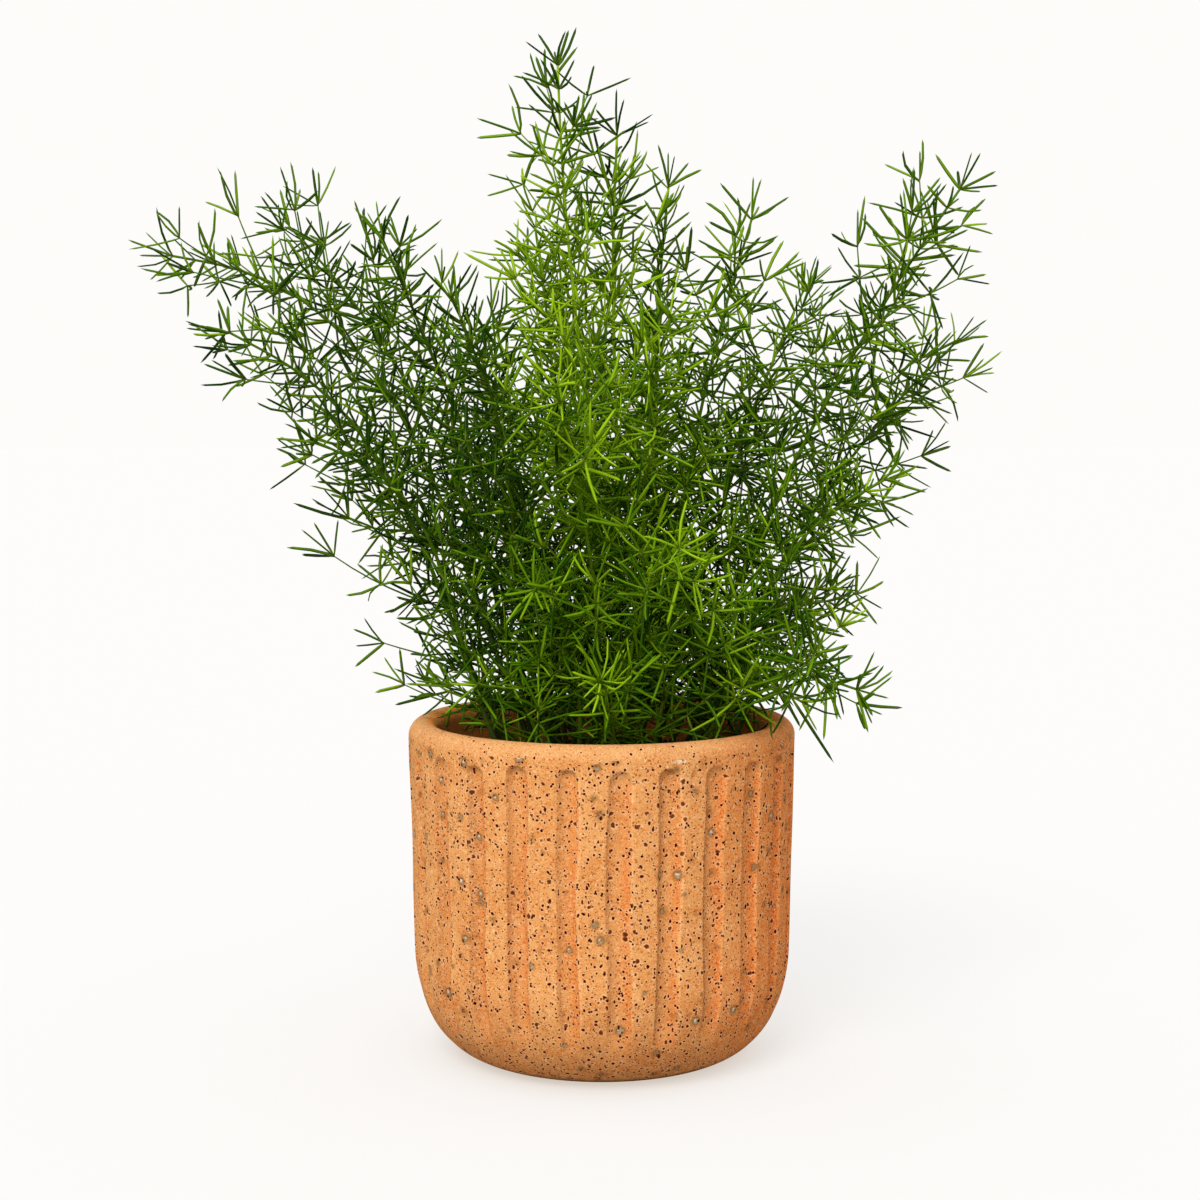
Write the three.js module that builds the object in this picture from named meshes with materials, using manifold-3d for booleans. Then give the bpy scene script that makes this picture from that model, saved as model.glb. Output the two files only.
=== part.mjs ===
// A potted sprengeri fern: a fluted terracotta pot, the potting soil in it, and the plant's leafy stems.
// Millimetres, +Z up. The origin is the middle of the pot's flat underside, and the side shown in the
// photograph faces -Y, with +X to its right.
import * as THREE from "three";
import { mergeVertices } from "three/addons/utils/BufferGeometryUtils.js";
import Module from "manifold-3d";

// Pot: a straight wall with a slight taper, a wide elliptical foot and a fully rounded lip
const POT_RADIUS = 80;
const POT_HEIGHT = 139;
const POT_WALL = 12;
const POT_FLOOR = 12;
const WALL_TAPER = 1.9; // how much narrower the wall is where the foot's curve begins
const FOOT_HEIGHT = 44;
const BASE_RADIUS = 49; // the flat underside
const LIP_RADIUS = POT_WALL / 2;
const LIP_HEIGHT = POT_HEIGHT - LIP_RADIUS; // where the wall ends and the lip's round begins

// Flutes: shallow grooves with an arched top, which fade out as the foot turns under
const FLUTES = 25;
const FLUTE_DEPTH = 1.4;
const FLUTE_WIDTH = 9.4;
const FLUTE_SLOPE = 0.07; // of its width that each side of a flute slopes over
const FLUTE_TOP = 130;
const FLUTE_FOOT = 16;
const FIRST_FLUTE = 274.6; // direction of one flute's middle, in degrees from +X

// Soil: fills the pot to a little below the lip
const SOIL_TOP = 120;
const SOIL_GAP = 0.45; // between the soil's corners and the pot's inside, which leaves 0.3 mm at the facets
const SOIL_FACETS = 20;
const SOIL_RINGS = [1, 0.6, 0]; // where its surface has rings of corners, as shares of its radius
const HOLE_GAP = 0.34; // round a stem, and under its root
const HOLE_RISE = 7; // how far above the soil the cut for a stem's hole reaches

// Stems: each is a cubic curve from the soil, with shoots that end in needles
const STEM_FOOT_RADIUS = 1.5;
const STEM_TIP_RADIUS = 0.8;
const STEM_SIDES = 4;
const STEM_ROWS = 7;
const TIP_RUN = 14; // the straight young tip that each stem's curve ends in
const TIP_WHORLS = [4, 20]; // how far below the very tip the stem's own whorls of needles stand
const ROOT_LENGTH = 18; // how far a stem stands in the soil
const CURVE_PULL = 0.36; // how far the curve's inner points lie from its ends, as a share of its chord
const SWAY_TURN = 1.5 * Math.PI; // how far through a sine wave a stem sways by its end

// Shoots: side branches set round the stem by the golden angle
const SHOOT_SPACING = 8.5;
const FIRST_SHOOT = 0.07;
const LAST_SHOOT = 0.98;
const SHOOT_PLACE = [0.35, 0.65]; // where a shoot may stand on its own stretch of the stem
const GOLDEN_TURN = 137.508;
const STEM_TURN = 40; // how much further round each next stem's first shoot stands
const TURN_SPREAD = [-16, 16];
const SHOOT_CONE = [58, 38]; // the angle between stem and shoot, at the soil and at the end
const CONE_SPREAD = [-7, 7];
const LEAST_FULLNESS = 0.36; // the length of the last shoots, as a share of the longest
const FULLNESS_SPAN = [0.06, 0.92]; // the stretch of a half wave that their lengths follow, from the tip down
const LENGTH_SPREAD = [0.8, 1.12];
const SHOOT_LIFT = [0.05, 0.45]; // how much a shoot turns upwards by its end
const SHOOT_RADIUS = 0.55;
const SHOOT_STEP = 3.5; // two shoots in seven are made here, so that the plant stays light
const SHORTEST_SHOOT = 13;
const LONG_SHOOT = 25; // from this length on a shoot has the longer row of whorls
const SHOOT_SIDES = 3;
const SHORT_WHORLS = [0.45, 0.9]; // where the whorls stand on a short shoot, as shares of its length
const LONG_WHORLS = [0.34, 0.64, 0.94];
const FEWEST_NEEDLES = 2; // a whorl, on average, or the shoot is left out

// Needles: the flattened leaf-like twigs, in whorls of one on each side of the shoot
const NEEDLE_LENGTH = [12, 17];
const NEEDLE_CONE = [42, 62];
const NEEDLE_TURN = [-14, 14];
const WHORL_LENGTH = 1.2; // how much of the shoot one whorl takes
const TIP_NEEDLE = 12;
const CLEARANCE = 0.32; // between two stems' foliage
const OWN_CLEARANCE = 0.1; // between two shoots of one stem
const NEEDLE_RADIUS = 0.5;
const LIP_CLEARANCE = 1.2;
const SOIL_CLEARANCE = 3.4;

// Seeds of the random draws
const STEM_SEED = 7919;
const SHOOT_SEED = 104729;
const TIP_SEED = 17;

const TERRACOTTA = new THREE.MeshStandardMaterial({ color: 0xdd9a62, roughness: 0.85, metalness: 0 });
const SOIL = new THREE.MeshStandardMaterial({ color: 0x3b2a1e, roughness: 0.95, metalness: 0 });
const FOLIAGE = new THREE.MeshStandardMaterial({ color: 0x587f22, roughness: 0.6, metalness: 0 });
const YOUNG_FOLIAGE = new THREE.MeshStandardMaterial({ color: 0x86ab33, roughness: 0.6, metalness: 0 });

// The plant, one row a stem: its name, the direction it leans in (degrees from +X, 270 to the viewer), the
// distance of its foot and of its end from the pot's axis, its end's height over the soil, its lean from
// upright at the foot and at the end, its longest shoot, and how far it sways out of its own plane.
const STEMS = [
  ["left_1", 184, 26, 160, 206, 24, 80, 50, 4],
  ["left_2", 162, 28, 128, 214, 18, 44, 52, -6],
  ["left_3", 203, 20, 86, 200, 10, 24, 40, 4],
  ["left_4", 146, 20, 72, 178, 8, 26, 30, 4],
  ["left_5", 231, 27, 84, 168, 16, 34, 44, -6],
  ["left_6", 202, 41, 108, 128, 28, 66, 46, -4],
  ["left_7", 168, 39, 76, 98, 32, 66, 34, 4],
  ["left_8", 192, 35, 138, 170, 30, 62, 50, -4],
  ["middle_1", 250, 12, 38, 266, 3, 6, 42, 4],
  ["middle_2", 190, 11, 26, 206, 3, 8, 30, -3],
  ["middle_3", 310, 5, 12, 242, 2, 4, 36, 3],
  ["middle_4", 44, 14, 42, 226, 6, 8, 18, -5],
  ["middle_5", 336, 16, 62, 208, 8, 18, 38, 4],
  ["right_1", 22, 24, 88, 184, 12, 26, 42, -4],
  ["right_2", 352, 26, 136, 222, 20, 34, 44, 5],
  ["right_3", 8, 32, 140, 164, 26, 46, 44, -4],
  ["right_4", 342, 34, 106, 112, 32, 60, 32, 4],
  ["right_5", 18, 37, 92, 64, 34, 66, 38, -3],
  ["right_6", 330, 37, 102, 42, 32, 104, 38, 3],
  ["front_1", 262, 24, 80, 146, 22, 50, 50, 4],
  ["front_2", 287, 28, 76, 90, 34, 70, 48, -3],
  ["front_3", 300, 18, 52, 170, 12, 26, 46, 3],
  ["front_4", 253, 32, 64, 76, 30, 80, 42, 3],
  ["front_5", 272, 34, 54, 40, 34, 78, 34, 3],
  ["front_6", 308, 32, 60, 52, 34, 74, 36, -3],
  ["front_7", 228, 36, 56, 36, 34, 78, 32, 3],
  ["back_1", 92, 24, 104, 170, 18, 46, 50, 4],
  ["back_2", 122, 28, 106, 122, 26, 60, 48, -4],
  ["back_3", 64, 28, 110, 128, 24, 60, 50, 4],
  ["back_4", 104, 14, 58, 204, 8, 18, 40, -4],
  ["back_5", 106, 38, 80, 58, 32, 72, 36, 3],
  ["back_6", 74, 39, 84, 46, 34, 78, 34, -3],
];
const YOUNG_STEMS = ["middle_1", "middle_2", "middle_3"];

const UP = new THREE.Vector3(0, 0, 1);
const wasm = await Module();
wasm.setup();

const radians = THREE.MathUtils.degToRad;
const between = THREE.MathUtils.lerp;

// A run of random numbers that is the same each time for the same seed.
class Draws {
  constructor(seed) {
    this.state = seed >>> 0;
  }

  unit() {
    this.state = (this.state + 0x6d2b79f5) >>> 0;
    let t = this.state;
    t = Math.imul(t ^ (t >>> 15), t | 1);
    t ^= t + Math.imul(t ^ (t >>> 7), t | 61);
    return ((t ^ (t >>> 14)) >>> 0) / 4294967296;
  }

  between(low, high) {
    return low + (high - low) * this.unit();
  }
}

// Solids

// A closed geometry as a solid, with its shared corners merged and its collapsed faces left out.
function solidOf(geometry) {
  const bare = new THREE.BufferGeometry();
  bare.setAttribute("position", geometry.getAttribute("position"));
  bare.setIndex(geometry.index);
  const merged = mergeVertices(bare);
  const corners = merged.index.array;
  const faces = [];
  for (let i = 0; i < corners.length; i += 3) {
    const [a, b, c] = corners.subarray(i, i + 3);
    if (a !== b && b !== c && c !== a) faces.push(a, b, c);
  }
  const vertProperties = merged.attributes.position.array;
  return new wasm.Manifold(new wasm.Mesh({ numProp: 3, vertProperties, triVerts: new Uint32Array(faces) }));
}

function geometryOf(solid) {
  const { vertProperties, triVerts } = solid.getMesh();
  const geometry = new THREE.BufferGeometry();
  geometry.setAttribute("position", new THREE.BufferAttribute(vertProperties, 3));
  geometry.setIndex(new THREE.BufferAttribute(triVerts, 1));
  geometry.computeVertexNormals();
  return geometry;
}

// A solid of revolution about Z from [radius, height] points.
function turned(profile, facets) {
  return new THREE.LatheGeometry(profile, facets).rotateX(Math.PI / 2);
}

function arc(centreRadius, centreHeight, width, height, from, to, steps) {
  const curve = new THREE.EllipseCurve(
    centreRadius, centreHeight, width, height, radians(from), radians(to), to < from);
  return curve.getPoints(steps);
}

// Pot

function radiusOnFoot(height) {
  const drop = (FOOT_HEIGHT - height) / FOOT_HEIGHT;
  return BASE_RADIUS + (POT_RADIUS - WALL_TAPER - BASE_RADIUS) * Math.sqrt(1 - drop * drop);
}

function radiusOnWall(height) {
  const share = (height - FOOT_HEIGHT) / (LIP_HEIGHT - FOOT_HEIGHT);
  return POT_RADIUS - WALL_TAPER * (1 - share);
}

// The inside's corner between wall and floor, drawn in by inset, and the wall's radius at the lip.
function inside(inset) {
  const lip = POT_RADIUS - POT_WALL;
  const wall = lip - WALL_TAPER;
  const floor = BASE_RADIUS - POT_WALL;
  const width = wall - floor - inset;
  const corner = arc(floor, FOOT_HEIGHT, width, FOOT_HEIGHT - POT_FLOOR - inset, 0, -90, 2);
  return { lip: lip - inset, corner };
}

// The pot's outline from the middle of its underside, over the lip, to the middle of its floor. A row's depth
// is the flutes' depth there and its spread their width, both as a share. Where it has a bed, the flutes'
// floor lies at that height and spread instead, which rounds their tops.
function potRows() {
  const half = FLUTE_WIDTH / 2;
  const spring = FLUTE_TOP - half;
  const plain = (point) => ({ radius: point.x, height: point.y, depth: 0, spread: 1 });
  const foot = (height, depth) => ({ radius: radiusOnFoot(height), height, depth, spread: 1 });
  const archRow = (spread, rise, bedSpread, bedRise) => ({
    radius: radiusOnWall(spring + rise * half),
    height: spring + rise * half,
    depth: 1,
    spread,
    bed: { spread: bedSpread, height: spring + bedRise * half },
  });
  const lip = arc(POT_RADIUS - LIP_RADIUS, LIP_HEIGHT, LIP_RADIUS, LIP_RADIUS, 0, 180, 6);
  const inner = 1 - 2 * FLUTE_SLOPE;
  return [
    plain(new THREE.Vector2(0, 0)),
    foot(0, 0),
    foot(FLUTE_FOOT * 0.1, 0),
    foot(FLUTE_FOOT * 0.4, 0),
    foot(FLUTE_FOOT, 0),
    foot(FLUTE_FOOT + 8, 0.6),
    foot(FLUTE_FOOT + 17, 1),
    foot(FOOT_HEIGHT, 1),
    archRow(1, 0, inner, 0),
    archRow(Math.SQRT1_2, Math.SQRT1_2, inner * Math.SQRT1_2, inner * Math.SQRT1_2),
    archRow(0, 1, 0, inner),
    { radius: radiusOnWall(FLUTE_TOP), height: FLUTE_TOP, depth: 0, spread: 0 },
    ...lip.map(plain),
    ...inside(0).corner.map(plain),
    plain(new THREE.Vector2(0, POT_FLOOR)),
  ];
}

// The five points of one row at one flute: its left edge, the floor's left, middle and right, its right edge.
function flutePoints(row, flute) {
  const halfAngle = Math.asin(FLUTE_WIDTH / 2 / POT_RADIUS);
  const direction = radians(FIRST_FLUTE + (flute * 360) / FLUTES);
  const bed = row.bed ?? { spread: row.spread - 2 * FLUTE_SLOPE * row.depth, height: row.height };
  const fluted = row.depth > 0;
  return [-1, -1, 0, 1, 1].map((side, column) => {
    const onFloor = column > 0 && column < 4;
    const across = fluted && column === 2 ? 0 : side || -1;
    const angle = direction + across * halfAngle * (onFloor && fluted ? bed.spread : row.spread);
    const radius = row.radius - (onFloor ? row.depth * FLUTE_DEPTH : 0);
    const height = onFloor && fluted ? bed.height : row.height;
    return new THREE.Vector3(radius * Math.cos(angle), radius * Math.sin(angle), height);
  });
}

function pot() {
  const flutes = Array.from({ length: FLUTES }, (_, flute) => flute);
  const rings = potRows().map((row) => flutes.flatMap((flute) => flutePoints(row, flute)));
  const columns = rings[0].length;
  const faces = [];
  for (let row = 0; row < rings.length - 1; row += 1) {
    for (let j = 0; j < columns; j += 1) {
      const k = (j + 1) % columns;
      const [a, b] = [row * columns + j, row * columns + k];
      faces.push(a, b, b + columns, a, b + columns, a + columns);
    }
  }
  const geometry = new THREE.BufferGeometry().setFromPoints(rings.flat()).setIndex(faces);
  return geometryOf(solidOf(geometry));
}

// Soil

function unevenness(x, y) {
  const wide = 1.1 * Math.sin(x / 8 + 1) * Math.cos(y / 10);
  const middling = 0.7 * Math.sin((x + y) / 6);
  const fine = 0.5 * Math.cos(x / 4 - y / 5);
  return wide + middling + fine;
}

function soil(stems) {
  const { lip, corner } = inside(SOIL_GAP);
  const edge = lip - POT_RADIUS + radiusOnWall(SOIL_TOP);
  const surface = SOIL_RINGS.map((share) => new THREE.Vector2(edge * share, SOIL_TOP));
  const profile = [new THREE.Vector2(0, POT_FLOOR + SOIL_GAP), ...corner.reverse(), ...surface];
  const heap = turned(profile, SOIL_FACETS);
  const place = heap.getAttribute("position");
  for (let i = 0; i < place.count; i += 1) {
    if (place.getZ(i) < SOIL_TOP - 0.01) continue;
    place.setZ(i, SOIL_TOP + unevenness(place.getX(i), place.getY(i)));
  }
  let body = solidOf(heap);
  for (const stem of stems) body = body.subtract(solidOf(stem.hole()));
  return geometryOf(body);
}

// Stems, shoots and needles

// Rings of corners joined into one closed skin. A side whose place in peaks holds a point is drawn out to
// that point as a needle, and the last ring ends in the point tip.
function skin(rings, peaks, tip) {
  const sides = rings[0].length;
  const points = rings.flat();
  const faces = [];
  for (let j = 1; j < sides - 1; j += 1) faces.push(0, j + 1, j);
  rings.slice(1).forEach((ring, row) => {
    for (let j = 0; j < sides; j += 1) {
      const k = (j + 1) % sides;
      const [a, b] = [row * sides + j, row * sides + k];
      const [c, d] = [b + sides, a + sides];
      const peak = peaks.get(row * sides + j);
      if (peak) {
        const top = points.push(peak) - 1;
        faces.push(a, b, top, b, c, top, c, d, top, d, a, top);
      } else {
        faces.push(a, b, c, a, c, d);
      }
    }
  });
  const last = (rings.length - 1) * sides;
  const end = points.push(tip) - 1;
  for (let j = 0; j < sides; j += 1) faces.push(last + j, last + ((j + 1) % sides), end);
  const geometry = new THREE.BufferGeometry().setFromPoints(points);
  return geometry.setIndex(faces);
}

function ringOf(centre, across, along, radius, sides, turn) {
  return Array.from({ length: sides }, (_, j) => {
    const angle = turn + (j * 2 * Math.PI) / sides;
    return centre.clone()
      .addScaledVector(across, radius * Math.cos(angle))
      .addScaledVector(along, radius * Math.sin(angle));
  });
}

// The least distance between two straight stretches.
function distanceBetween(a, b, c, d) {
  const u = b.clone().sub(a);
  const v = d.clone().sub(c);
  const w = a.clone().sub(c);
  const [uu, uv, vv, uw, vw] = [u.dot(u), u.dot(v), v.dot(v), u.dot(w), v.dot(w)];
  const flat = uu * vv - uv * uv;
  const clamp = (x) => Math.min(1, Math.max(0, x));
  let s = flat > 1e-9 ? clamp((uv * vw - vv * uw) / flat) : 0;
  const t = clamp((uv * s + vw) / vv);
  s = clamp((uv * t - uw) / uu);
  return w.addScaledVector(u, s).addScaledVector(v, -t).length();
}

// A straight piece of a stem, a shoot or a needle, from a to b.
function stretch(owner, part, a, b, radius) {
  return { owner, part, a, b, radius, middle: a.clone().lerp(b, 0.5), half: a.distanceTo(b) / 2 };
}

// Everything that has been placed so far.
class Placed {
  constructor() {
    this.stretches = [];
  }

  add(it) {
    this.stretches.push(it);
  }

  // Whether a stretch keeps its distance from all but its own part, and from its stem unless it roots there.
  clears(it, rootsInStem = false) {
    return this.stretches.every((other) => {
      const sameStem = other.owner === it.owner;
      if (sameStem && (other.part === it.part || (rootsInStem && other.part === "stem"))) return true;
      const gap = it.radius + other.radius + (sameStem ? OWN_CLEARANCE : CLEARANCE);
      if (it.middle.distanceTo(other.middle) > it.half + other.half + gap) return true;
      return distanceBetween(it.a, it.b, other.a, other.b) > gap;
    });
  }

  // A function that adds a needle if it clears the rest and the pot, and says whether it did.
  claimer(owner, part) {
    return (a, b) => {
      const it = stretch(owner, part, a, b, NEEDLE_RADIUS);
      const clear = clearsPot(a, b) && this.clears(it);
      if (clear) this.add(it);
      return clear;
    };
  }
}

// Whether a stretch stays above the soil and out of the pot's wall and lip.
function clearsPot(a, b) {
  const lipCentre = POT_RADIUS - LIP_RADIUS;
  const reach = LIP_RADIUS + LIP_CLEARANCE;
  const steps = 8;
  for (let i = 0; i <= steps; i += 1) {
    const point = a.clone().lerp(b, i / steps);
    const radius = Math.hypot(point.x, point.y);
    const fromLip = Math.hypot(radius - lipCentre, Math.max(0, point.z - LIP_HEIGHT));
    if (point.z < LIP_HEIGHT + reach && fromLip < reach) return false;
    if (radius < lipCentre && point.z < SOIL_TOP + SOIL_CLEARANCE) return false;
  }
  return true;
}

class Shoot {
  constructor(foot, start, end, length, draws) {
    Object.assign(this, { foot, start, end, length, draws });
    this.side = start.clone().cross(UP);
    if (this.side.length() < 0.05) this.side = start.clone().cross(new THREE.Vector3(1, 0, 0));
    this.side.normalize();
  }

  at(s) {
    return this.foot.clone()
      .addScaledVector(this.start, this.length * (s - (s * s) / 2))
      .addScaledVector(this.end, (this.length * s * s) / 2);
  }

  frame(s) {
    const ahead = this.start.clone().multiplyScalar(1 - s).addScaledVector(this.end, s).normalize();
    const side = this.side.clone().addScaledVector(ahead, -this.side.dot(ahead)).normalize();
    return { ahead, side, other: side.clone().cross(ahead) };
  }

  tip() {
    return this.at(1).addScaledVector(this.end, TIP_NEEDLE);
  }

  // The shoot's run as four straight stretches, and the needle at its tip.
  stretches(owner, part) {
    const points = [...[0, 0.25, 0.5, 0.75, 1].map((s) => this.at(s)), this.tip()];
    return points.slice(1).map((point, i) => stretch(owner, part, points[i], point, SHOOT_RADIUS));
  }

  ring(s, turn) {
    const { side, other } = this.frame(s);
    return ringOf(this.at(s), other, side, SHOOT_RADIUS, SHOOT_SIDES, turn);
  }

  // The shoot and its whorls of needles as one closed skin, or null if too few needles have room.
  spray(claim) {
    const places = this.length < LONG_SHOOT ? SHORT_WHORLS : LONG_WHORLS;
    const peaks = new Map();
    const rings = [this.ring(0, 0)];
    places.forEach((s, i) => {
      const corner = (i * Math.PI) / SHOOT_SIDES;
      const turn = corner + Math.PI / SHOOT_SIDES;
      const whorl = { centre: this.at(s), frame: this.frame(s), sides: SHOOT_SIDES, turn };
      addWhorl(peaks, rings.length * SHOOT_SIDES, whorl, this.draws, claim);
      rings.push(this.ring(s, corner), this.ring(s + WHORL_LENGTH / this.length, corner));
    });
    return peaks.size < places.length * FEWEST_NEEDLES ? null : skin(rings, peaks, this.tip());
  }
}

class Stem {
  constructor(index, row) {
    const [name, direction, footRadius, reach, rise, footLean, endLean, longest, sway] = row;
    Object.assign(this, { index, name, longest, sway });
    const angle = radians(direction);
    this.out = new THREE.Vector3(Math.cos(angle), Math.sin(angle), 0);
    this.side = new THREE.Vector3(-Math.sin(angle), Math.cos(angle), 0);
    const foot = new THREE.Vector2(footRadius, 0);
    const end = new THREE.Vector2(reach, rise);
    const pull = CURVE_PULL * foot.distanceTo(end);
    const lean = (degrees) => new THREE.Vector2(Math.sin(radians(degrees)), Math.cos(radians(degrees)));
    this.curve = new THREE.CubicBezierCurve(
      foot, foot.clone().addScaledVector(lean(footLean), pull),
      end.clone().addScaledVector(lean(endLean), -pull), end);
    this.length = this.measure();
    this.shootCount = Math.round((this.length * (LAST_SHOOT - FIRST_SHOOT)) / SHOOT_SPACING);
    this.tip = 1 + TIP_RUN / this.length;
    this.whorls = TIP_WHORLS.map((back) => this.tip - back / this.length).reverse();
    this.marks = this.ringMarks();
    this.grown = new Set();
    this.sprays = [];
  }

  // The point at t, which is 0 at the soil and 1 where the curve ends and the straight tip begins.
  at(t) {
    if (t > 1) return this.at(1).addScaledVector(this.frame(1).ahead, (t - 1) * this.length);
    const flat = this.curve.getPoint(t);
    return new THREE.Vector3(0, 0, SOIL_TOP + flat.y)
      .addScaledVector(this.out, flat.x)
      .addScaledVector(this.side, this.sway * Math.sin(SWAY_TURN * t));
  }

  measure() {
    const steps = 24;
    let length = 0;
    for (let i = 0; i < steps; i += 1) length += this.at(i / steps).distanceTo(this.at((i + 1) / steps));
    return length;
  }

  frame(t) {
    const step = 0.002;
    const before = this.at(Math.max(0, Math.min(t, 1) - step));
    const ahead = this.at(Math.min(1, t + step)).sub(before).normalize();
    const side = this.side.clone().addScaledVector(ahead, -this.side.dot(ahead)).normalize();
    return { ahead, side, other: side.clone().cross(ahead) };
  }

  // The places along the stem that have a ring of corners, with two at each whorl of its own.
  ringMarks() {
    const rows = Array.from({ length: STEM_ROWS }, (_, row) => (this.whorls[0] * row) / STEM_ROWS);
    return [...rows, ...this.whorls.flatMap((t) => [t, t + WHORL_LENGTH / this.length]), this.tip];
  }

  // The point at t on the straight runs between the rings.
  onRun(t) {
    const next = Math.max(1, this.marks.findIndex((mark) => mark >= t));
    const [from, to] = [this.marks[next - 1], this.marks[next]];
    return this.at(from).lerp(this.at(to), (t - from) / (to - from));
  }

  radius(t) {
    return STEM_FOOT_RADIUS + (STEM_TIP_RADIUS - STEM_FOOT_RADIUS) * Math.min(1, t);
  }

  // The shoot of the given number, counted from the soil.
  shoot(number) {
    const draws = new Draws(STEM_SEED * (this.index + 1) + SHOOT_SEED * (number + 1));
    draws.unit();
    const share = (number + draws.between(...SHOOT_PLACE)) / this.shootCount;
    const t = between(FIRST_SHOOT, LAST_SHOOT, share);
    const roll = radians(GOLDEN_TURN * number + draws.between(...TURN_SPREAD) + STEM_TURN * this.index);
    const cone = radians(between(...SHOOT_CONE, t) + draws.between(...CONE_SPREAD));
    const fullness = between(LEAST_FULLNESS, 1, Math.sin(Math.PI * between(...FULLNESS_SPAN, 1 - t)));
    const length = this.longest * fullness * draws.between(...LENGTH_SPREAD);
    const lift = draws.between(...SHOOT_LIFT);
    const { ahead, side, other } = this.frame(t);
    const start = ahead.clone().multiplyScalar(Math.cos(cone))
      .addScaledVector(other, Math.sin(cone) * Math.cos(roll))
      .addScaledVector(side, Math.sin(cone) * Math.sin(roll))
      .normalize();
    const end = start.clone().addScaledVector(UP, lift).normalize();
    return new Shoot(this.onRun(t), start, end, length, draws);
  }

  // The stem's straight part in the soil.
  root(length) {
    return this.at(0).addScaledVector(this.frame(0).ahead, -length);
  }

  hole() {
    const { side, other, ahead } = this.frame(0);
    const radius = STEM_FOOT_RADIUS + HOLE_GAP / Math.cos(Math.PI / STEM_SIDES);
    const ends = [this.root(ROOT_LENGTH + HOLE_GAP), this.at(0).addScaledVector(ahead, HOLE_RISE)];
    const rings = ends.map((end) => ringOf(end, other, side, radius, STEM_SIDES, 0));
    return skin(rings, new Map(), this.at(0).addScaledVector(ahead, HOLE_RISE + 1));
  }

  // Claims the room for the stem itself.
  claim(placed) {
    this.marks.slice(1).forEach((mark, i) => {
      const before = this.marks[i];
      placed.add(stretch(this.name, "stem", this.at(before), this.at(mark), this.radius(before)));
    });
    this.end = this.at(this.tip).addScaledVector(this.frame(1).ahead, TIP_NEEDLE);
    placed.add(stretch(this.name, "stem", this.at(this.tip), this.end, NEEDLE_RADIUS));
  }

  // Draws out the whorls of needles near the stem's end.
  claimTip(placed) {
    const draws = new Draws(STEM_SEED * (this.index + 1) + TIP_SEED);
    this.peaks = new Map();
    const turn = Math.PI / STEM_SIDES;
    this.whorls.forEach((t, i) => {
      const whorl = { centre: this.at(t), frame: this.frame(t), sides: STEM_SIDES, turn };
      const first = (1 + STEM_ROWS + 2 * i) * STEM_SIDES;
      addWhorl(this.peaks, first, whorl, draws, placed.claimer(this.name, "stem"));
    });
  }

  ring(t, centre = this.at(t)) {
    const { side, other } = this.frame(t);
    return ringOf(centre, other, side, this.radius(t), STEM_SIDES, 0);
  }

  // Makes the shoot of that number if it clears everything that is placed, and says whether it did.
  grow(number, placed) {
    if (number < 0 || number >= this.shootCount || this.grown.has(number)) return false;
    const shoot = this.shoot(number);
    if (shoot.length < SHORTEST_SHOOT) return false;
    const part = `shoot ${number}`;
    const run = shoot.stretches(this.name, part);
    const clear = run.every((it, i) => placed.clears(it, i === 0) && (i === 0 || clearsPot(it.a, it.b)));
    if (!clear) return false;
    const before = placed.stretches.length;
    run.forEach((it) => placed.add(it));
    const spray = shoot.spray(placed.claimer(this.name, part));
    if (!spray) {
      placed.stretches.length = before;
      return false;
    }
    this.grown.add(number);
    this.sprays.push(spray);
    return true;
  }

  // The stem with its shoots, as one solid.
  body() {
    const deepest = this.ring(0, this.root(ROOT_LENGTH));
    const rings = [deepest, ...this.marks.slice(0, -1).map((mark) => this.ring(mark))];
    const bare = solidOf(skin(rings, this.peaks, this.end));
    return this.sprays.reduce((body, spray) => body.add(solidOf(spray)), bare);
  }
}

// Draws a needle out of each side of a whorl's ring that has room for one. The ring's first side is number
// first of its skin.
function addWhorl(peaks, first, whorl, draws, claim) {
  const { ahead, side, other } = whorl.frame;
  for (let j = 0; j < whorl.sides; j += 1) {
    const angle = whorl.turn + (j * 2 * Math.PI) / whorl.sides + radians(draws.between(...NEEDLE_TURN));
    const cone = radians(draws.between(...NEEDLE_CONE));
    const length = draws.between(...NEEDLE_LENGTH);
    const direction = ahead.clone().multiplyScalar(Math.cos(cone))
      .addScaledVector(other, Math.sin(cone) * Math.cos(angle))
      .addScaledVector(side, Math.sin(cone) * Math.sin(angle));
    const foot = whorl.centre.clone().addScaledVector(direction, 1);
    const peak = whorl.centre.clone().addScaledVector(direction, length);
    if (claim(foot, peak)) peaks.set(first + j, peak);
  }
}

// Grows every stem's shoots in turn, from the tips down, so that no stem crowds out another.
function growPlant(stems) {
  const placed = new Placed();
  stems.forEach((stem) => stem.claim(placed));
  stems.forEach((stem) => stem.claimTip(placed));
  const most = Math.max(...stems.map((stem) => stem.shootCount));
  for (let down = 1; down <= most; down += SHOOT_STEP) {
    for (const stem of stems) {
      const number = stem.shootCount - 1 - Math.round(down);
      [0, -1, 1].some((shift) => stem.grow(number + shift, placed));
    }
  }
  return stems.map((stem) => stem.body());
}

function named(name, geometry, material) {
  const mesh = new THREE.Mesh(geometry, material);
  mesh.name = name;
  return mesh;
}

function build() {
  const stems = STEMS.map((row, index) => new Stem(index, row));
  const plant = new THREE.Group();
  growPlant(stems).forEach((body, i) => {
    const material = YOUNG_STEMS.includes(stems[i].name) ? YOUNG_FOLIAGE : FOLIAGE;
    plant.add(named(`leafy_stem_${stems[i].name}`, geometryOf(body), material));
  });
  const group = new THREE.Group();
  group.add(named("pot", pot(), TERRACOTTA), named("potting_soil", soil(stems), SOIL), plant);
  return group;
}

export default build();
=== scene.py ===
"""The potted sprengeri fern as it looks: a fluted terracotta pot, potting soil and leafy stems."""

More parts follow.
